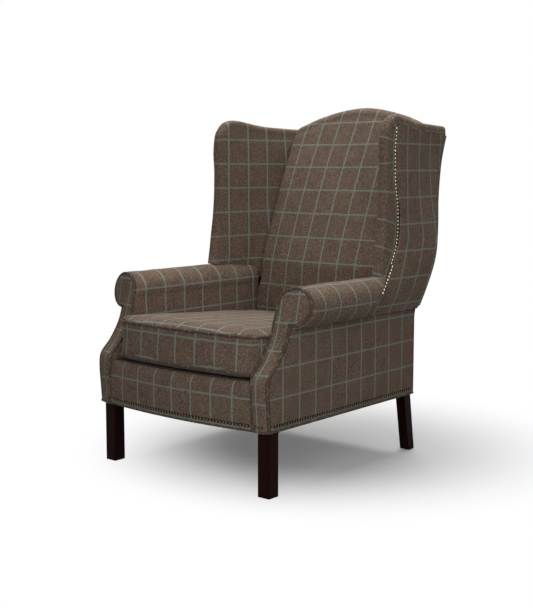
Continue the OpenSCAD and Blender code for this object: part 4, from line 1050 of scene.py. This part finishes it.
for part, uv in ((grid[:SEAM_LOW + 2], flat[:SEAM_LOW + 2]), (grid[SEAM_LOW:SEAM_HIGH + 1], box_uv),
                 (grid[SEAM_HIGH:], flat[SEAM_HIGH:])):
    faces += grid_faces(len(part), m, len(points), loop=True)
    points += [*part.reshape(-1, 3)]
    uvs += [*uv.reshape(-1, 2)]
inner = len(points) - m
for middle in (grid[-1].mean(0), grid[0].mean(0)):
    points.append(middle)
    uvs.append(middle[:2])
faces += fan(inner, m, len(points) - 2)
faces += [[b, a, tip] for a, b, tip in fan(0, m, len(points) - 1)]
cover = make("seat_cushion_cover", on_deck(np.array(points)), faces, np.array(uvs))
work = bmesh.new()
work.from_mesh(cover.data)
bmesh.ops.remove_doubles(work, verts=work.verts, dist=0.02 * MM)
work.to_mesh(cover.data)
work.free()
place = np.array([v.co for v in cover.data.vertices]) / MM - [0, SHIFT, 0]
height = (place[:, 2] - BORDER_H) * math.cos(SEAT_TILT) + (place[:, 1] - DECK_Y) * math.sin(SEAT_TILT)
ring_points = on_deck(np.concatenate([ring(2.4 * WELT_R, WELT_LOW), ring(2.4 * WELT_R, WELT_HIGH)]))
near_seam = np.array([np.linalg.norm(ring_points - q, axis=1).min() < 0.5 for q in place])
stuff(cover, np.nonzero(near_seam | (height < GAP + 0.35 * RISE))[0], 9)
dress(cover, "cushion", ["seat_cushion"])

# %% Cushion piping
for word, z, seed in (("top", WELT_HIGH, 5), ("bottom", WELT_LOW, 6)):
    loop = ring(WELT_R, z, corner=0.13)
    loop = resample(np.vstack([loop, loop[:1]]), np.linspace(0, 1, 300, endpoint=False))
    loop[:, 2] += 0.6 * ripple(loop, 160, seed)
    piece = tube(f"cushion_piping_{word}", on_deck(loop), WELT_R, closed=True)
    dress(piece, "cushion", [f"cushion_welt_{word}"], PIPING)

# %% [markdown]
# ## Frame materials
# What the cloth leaves bare, and the frame inside it, stays as the CAD drew it and only gets its material.

# %% Materials for the CAD nodes
def give(names, mat):
    for name in names:
        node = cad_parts[name]
        node.data.materials.clear()
        node.data.materials.append(mat)


give(["leg_front_left", "leg_front_right", "back_post_left", "back_post_right"], MAHOGANY)
give([f"glide_{a}_{b}" for a in ("front", "rear") for b in ("left", "right")], GLIDE)
give(["front_rail", "back_rail", "stay_rail", "crest_rail"], BEECH_ACROSS)
give(["side_rail_left", "side_rail_right", "corner_blocks"], BEECH_DEEP)
give(["arm_post_left", "arm_post_right"], BEECH_UP)
give(["arm_board_left", "arm_board_right", "wing_board_left", "wing_board_right"], PLYWOOD)
give(["seat_springs"], STEEL)

# %% [markdown]
# ## Under the cushion and under the chair
# A plain cotton platform covers the springs: it shows their bars faintly and has one cross seam behind the
# front border. A black bottom cloth is stapled under the rails, notched round the legs. Both are grids, as
# the covers were. Jute webbing carries the padding of the back.

# %% Platform cloth
rows, cols = 60, 48
t = np.linspace(0, 1, rows)[:, None]
x = np.linspace(1.5 - ARM_IN, ARM_IN - 1.5, cols)[None, :]
edge_y = bow_front(x, BOW_R - BORDER_T - 2 * GAP) + 1
y = edge_y + (POST_FRONT - 2 - edge_y) * t
plane = BORDER_H - (y - DECK_Y) * math.tan(SEAT_TILT)
seam_y = bow_front(x, BOW_R - BORDER_T) + 95
dip = 0.6 * np.cos(2 * math.pi * x / 93) + 2.2 * np.exp(-((y - seam_y) / 4) ** 2) + 1.0
platform = pad("seat_platform", join(x, y, plane - dip), join(x, y), join(x, y, plane - 15), flip=True)
dress(platform, "chair", ["seat_deck"], DECK_CLOTH)


# %% Bottom cloth with its staples
def corner(name, axis, high=False):
    """One side of a CAD node's box, in the chair's millimetres."""
    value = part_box(name)[1 if high else 0][axis] / MM
    return value - SHIFT if axis == 1 else value


cloth_w = corner("dust_cover", 0, True) - 0.5
leg_in, leg_rear = corner("leg_front_left", 0) - 1, corner("leg_front_left", 1, True) + 1
post_in_x, post_front_y = corner("back_post_left", 0) - 1, POST_FRONT - 1.5
rear_edge = corner("dust_cover", 1, True) - 0.5
# How wide the cloth is on its way back; the first station has no place of its own and follows the bow
stations = ([(None, leg_in)] + [(v, leg_in) for v in np.linspace(12, leg_rear - 0.4, 4)]
            + [(v, cloth_w) for v in np.linspace(leg_rear, post_front_y, 40)]
            + [(v, post_in_x) for v in np.linspace(post_front_y + 0.4, rear_edge, 5)])
share = np.linspace(-1, 1, 56)
grid = []
for v, w in stations:
    x = share * w
    grid.append(join(x, bow_front(x, BOW_R - BORDER_T - 2 * GAP) + 1 if v is None else v, 0.0))
grid = np.array(grid)
grid[1:5, :, 1] = np.maximum(grid[1:5, :, 1], grid[0, :, 1][None] + np.arange(1, 5)[:, None])
inner = np.clip(1 - np.abs(grid[..., 0]) / cloth_w, 0, 1) * np.clip((rear_edge - grid[..., 1]) / 350, 0, 1)
grid[..., 2] = LEG_H + 0.6 - 5 * smooth(inner * 2) + 0.3 * ripple(grid, 90, 131) * smooth(inner * 6)
bottom = pad("bottom_cloth", grid, grid[..., :2], grid + [0, 0, 0.8])
dress(bottom, "chair", ["dust_cover"], DUST_CLOTH)


def blocks(name, boxes, body, chamfer, place=np.asarray):
    """Many small bars in one mesh, each with its edges broken; a box is its centre and half sizes."""
    points, faces = [], []
    for middle, half in boxes:
        start = len(points)
        half = np.asarray(half, float)
        inner = np.maximum(half - chamfer, half * 0.4)
        for level, size in ((-1, inner), (-0.4, half), (0.4, half), (1, inner)):
            for a, b in ((-1, -1), (1, -1), (1, 1), (-1, 1)):
                points.append(np.asarray(middle, float) + [a * size[0], b * size[1], level * half[2]])
        faces += stack_faces(4, 4, start)
    dress(make(name, place(points), faces, crease=30), body, [], STEEL)


across, along = (5, 0.5, 0.5), (0.5, 5, 0.5)
low = LEG_H + 0.1
staples = [([side * (cloth_w - 6), v, low], along) for side in (1, -1)
           for v in np.arange(leg_rear + 14, post_front_y - 8, 42)]
staples += [([v, rear_edge - 6, low], across) for v in np.arange(-post_in_x + 16, post_in_x - 8, 42)]
staples += [([v, bow_front(v, BOW_R - BORDER_T) + 8, low], across) for v in np.arange(-252, 260, 42)]
blocks("bottom_cloth_staples", staples, "chair", 0.2)

# %% Webbing of the back
STRAP_W, STRAP_T = 50.0, 2.0
web_half = corner("back_webbing", 0, True) - STRAP_W / 2
web_low, web_high = corner("back_webbing", 2) + 1, corner("back_webbing", 2, True) - 1
z = np.linspace(web_low, web_high, 60)[:, None]
y = corner("back_webbing", 1) + STRAP_T / 2 + RAKE * np.maximum(0, z - KNEE_Z)
for k in range(5):
    x = (k / 2 - 1) * web_half + np.linspace(-1, 1, 9)[None] * (STRAP_W / 2 - 0.8)
    thick = (STRAP_T / 2 - 0.3) * np.r_[0.4, np.ones(7), 0.4][None] + 0.08 * np.sin(z * 1.3)
    face = join(x, y - thick, z)
    strap = pad(f"webbing_strap_{k + 1}", face, face[..., [0, 2]], face + join(0, 2 * thick, 0))
    dress(strap, "chair", ["back_webbing"] if k == 0 else [], JUTE)

# %% [markdown]
# ## The zip of the cushion
# A zip is sewn into the rear of the boxing, so the cover comes off for cleaning: two tapes, two rows of
# teeth that mesh in turn, and a slider with its pull, which runs along them.

# %% Zip tape, teeth and slider
ZIP_L, ZIP_W, ZIP_T, TOOTH_PITCH, SLIDER_L = 470.0, 26.0, 1.6, 2.6, 16.0
ZIP_Y = CUSHION_FRONT + CUSHION_D - WELT_R - 2.5
ZIP_Z = (WELT_LOW + WELT_HIGH) / 2
x = np.linspace(-ZIP_L / 2 + 0.5, ZIP_L / 2 - 0.5, 120)[None]
z = ZIP_Z + (ZIP_W / 2 - 0.5) * np.linspace(-1, 1, 9)[:, None]
rear = join(x, ZIP_Y + 1.0 + 0.25 * np.sin(x / 19) * np.abs(z - ZIP_Z) / 13, z)
tape = pad("cushion_zip_tape", on_deck(rear), rear[..., [0, 2]], on_deck(rear - [0, 0.8, 0]), flip=True)
dress(tape, "cushion", ["cushion_zip"], TAPE)
teeth = []
for k in range(int((ZIP_L - 16) / TOOTH_PITCH * 2)):
    middle = [-ZIP_L / 2 + 8 + k * TOOTH_PITCH / 2, ZIP_Y + 1.5, ZIP_Z + (1.1 if k % 2 else -1.1)]
    teeth.append((middle, (0.45, 0.5, 1.7)))
teeth += [([side * (ZIP_L / 2 - 5), ZIP_Y + 1.5, ZIP_Z], (1.6, 0.6, 3.2)) for side in (1, -1)]
blocks("cushion_zip_teeth", teeth, "cushion", 0.15, on_deck)
slide_x, slide_y = -ZIP_L / 2 + SLIDER_L / 2, ZIP_Y + ZIP_T + GAP + 1.1
outline = [(-7, 2.2), (-7, -2.2), (-3, -2.6), (2, -3.8), (7.4, -3.8), (7.4, 3.8), (2, 3.8), (-3, 2.6)]
levels = [(0.86, -1.0), (1, -0.7), (1, 0.5), (0.86, 0.9)]
body = np.array([[[slide_x + a * g, slide_y + h, ZIP_Z + b * g] for a, b in outline] for g, h in levels])
turn = 2 * math.pi * np.arange(20) / 20
pull_x, pull_y, pull_z = slide_x - 1, slide_y + 1.35, ZIP_Z - 0.5
rings = [join(pull_x + 3.4 * r * np.cos(turn), pull_y + h, pull_z + 1.9 * r * np.sin(turn))
         for r, h in ((1.0, -0.35), (1.35, -0.35), (1.5, 0), (1.35, 0.35), (1.0, 0.35), (0.85, 0))]
m, n = len(outline), len(turn)
points = np.concatenate([body.reshape(-1, 3), np.array(rings).reshape(-1, 3)])
faces = stack_faces(4, m, flip=True) + grid_faces(6, n, 4 * m, True, True)
first, last = 4 * m, 4 * m + 5 * n
for j in range(n):
    k = (j + 1) % n
    faces.append([first + k, first + j, last + j, last + k])
slider = make("zip_slider_and_pull", on_deck(points), faces, crease=35)
dress(slider, "zip_slider", ["zip_slider"], STEEL)

# %% [markdown]
# ## Floor, light and camera
# A white studio with one large soft lamp overhead, a little behind the middle of the chair, and a weaker
# one beside the camera. The floor and the world turn white for the camera and in reflections only, so that
# no extra light reaches the cloth. Near the chair the floor takes its soft shadow, lifted and faded
# towards the front by painted light.

# %% Floor
FLOOR_SHADE, ROOM_LIGHT, WHITE = 0.12, 0.14, (1, 1, 1, 1)


def seen_directly(tree):
    path = add(tree, "LightPath").outputs
    return maths(tree, "MAXIMUM", path["Is Camera Ray"], path["Is Glossy Ray"])


def either(tree, mask, low, high):
    return add(tree, "MixShader", None, {0: mask, 1: low, 2: high}).outputs[0]


floor_m, tree, shader = material("Matt white studio floor", 0.9, "#6e6e6e", Specular_IOR_Level=0.0)
place = own_place(tree)
# Painted light: white grows with distance from a point behind the chair, fading the shadow at the front
moved = add(tree, "Mapping", {"Location": (-0.08, -0.2, 0)}, {0: place}).outputs[0]
glow_distance = add(tree, "VectorMath", {"operation": "LENGTH"}, {0: moved}).outputs[1]
paint = add(tree, "BsdfDiffuse", {"Color": WHITE}).outputs[0]
white = add(tree, "Emission", {"Color": WHITE}).outputs[0]
shown = either(tree, fade(tree, glow_distance, 0.3, 0.9, FLOOR_SHADE, 1.0), paint, white)
both = either(tree, seen_directly(tree), shader.outputs[0], shown)
tree.links.new(both, tree.nodes["Material Output"].inputs["Surface"])
bpy.ops.mesh.primitive_plane_add(size=30, location=(0, 0, 0))
floor = bpy.context.object
floor.name = "studio_floor"
floor.data.materials.append(floor_m)
floor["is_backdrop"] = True

# %% Lights and world
def lamp(name, at, aim, size, power):
    data = bpy.data.lights.new(name, "AREA")
    data.shape, data.size, data.energy = "DISK", size, power
    obj = in_scene(name, data)
    obj.location = at
    obj.rotation_euler = (Vector(aim) - Vector(at)).to_track_quat("-Z", "Y").to_euler()


lamp("overhead", (-0.3, 0.8, 3.2), (0, 0, 0.4), 2.4, 66)
lamp("camera side", (2.1, -2.5, 1.5), (0, 0, 0.5), 2.5, 36)
world = bpy.data.worlds.new("white room")
bpy.context.scene.world = world
world.use_nodes = True
tree = world.node_tree
tree.nodes.clear()
room = add(tree, "Background", {"Color": WHITE, "Strength": ROOM_LIGHT}).outputs[0]
white = add(tree, "Background", {"Color": WHITE}).outputs[0]
add(tree, "OutputWorld", None, {"Surface": either(tree, seen_directly(tree), room, white)})

# %% Camera
AZ, PITCH = math.radians(40.1057), math.radians(7.0853)
camera = bpy.data.cameras.new("camera")
camera.lens = 64.8
eye = in_scene("camera", camera)
eye.location = (2.2376, -2.7198, 0.920)
way = Vector((-math.sin(AZ) * math.cos(PITCH), math.cos(AZ) * math.cos(PITCH), -math.sin(PITCH)))
eye.rotation_euler = way.to_track_quat("-Z", "Y").to_euler()
bpy.context.scene.camera = eye
bpy.context.scene.view_settings.view_transform = "Standard"

low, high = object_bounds()
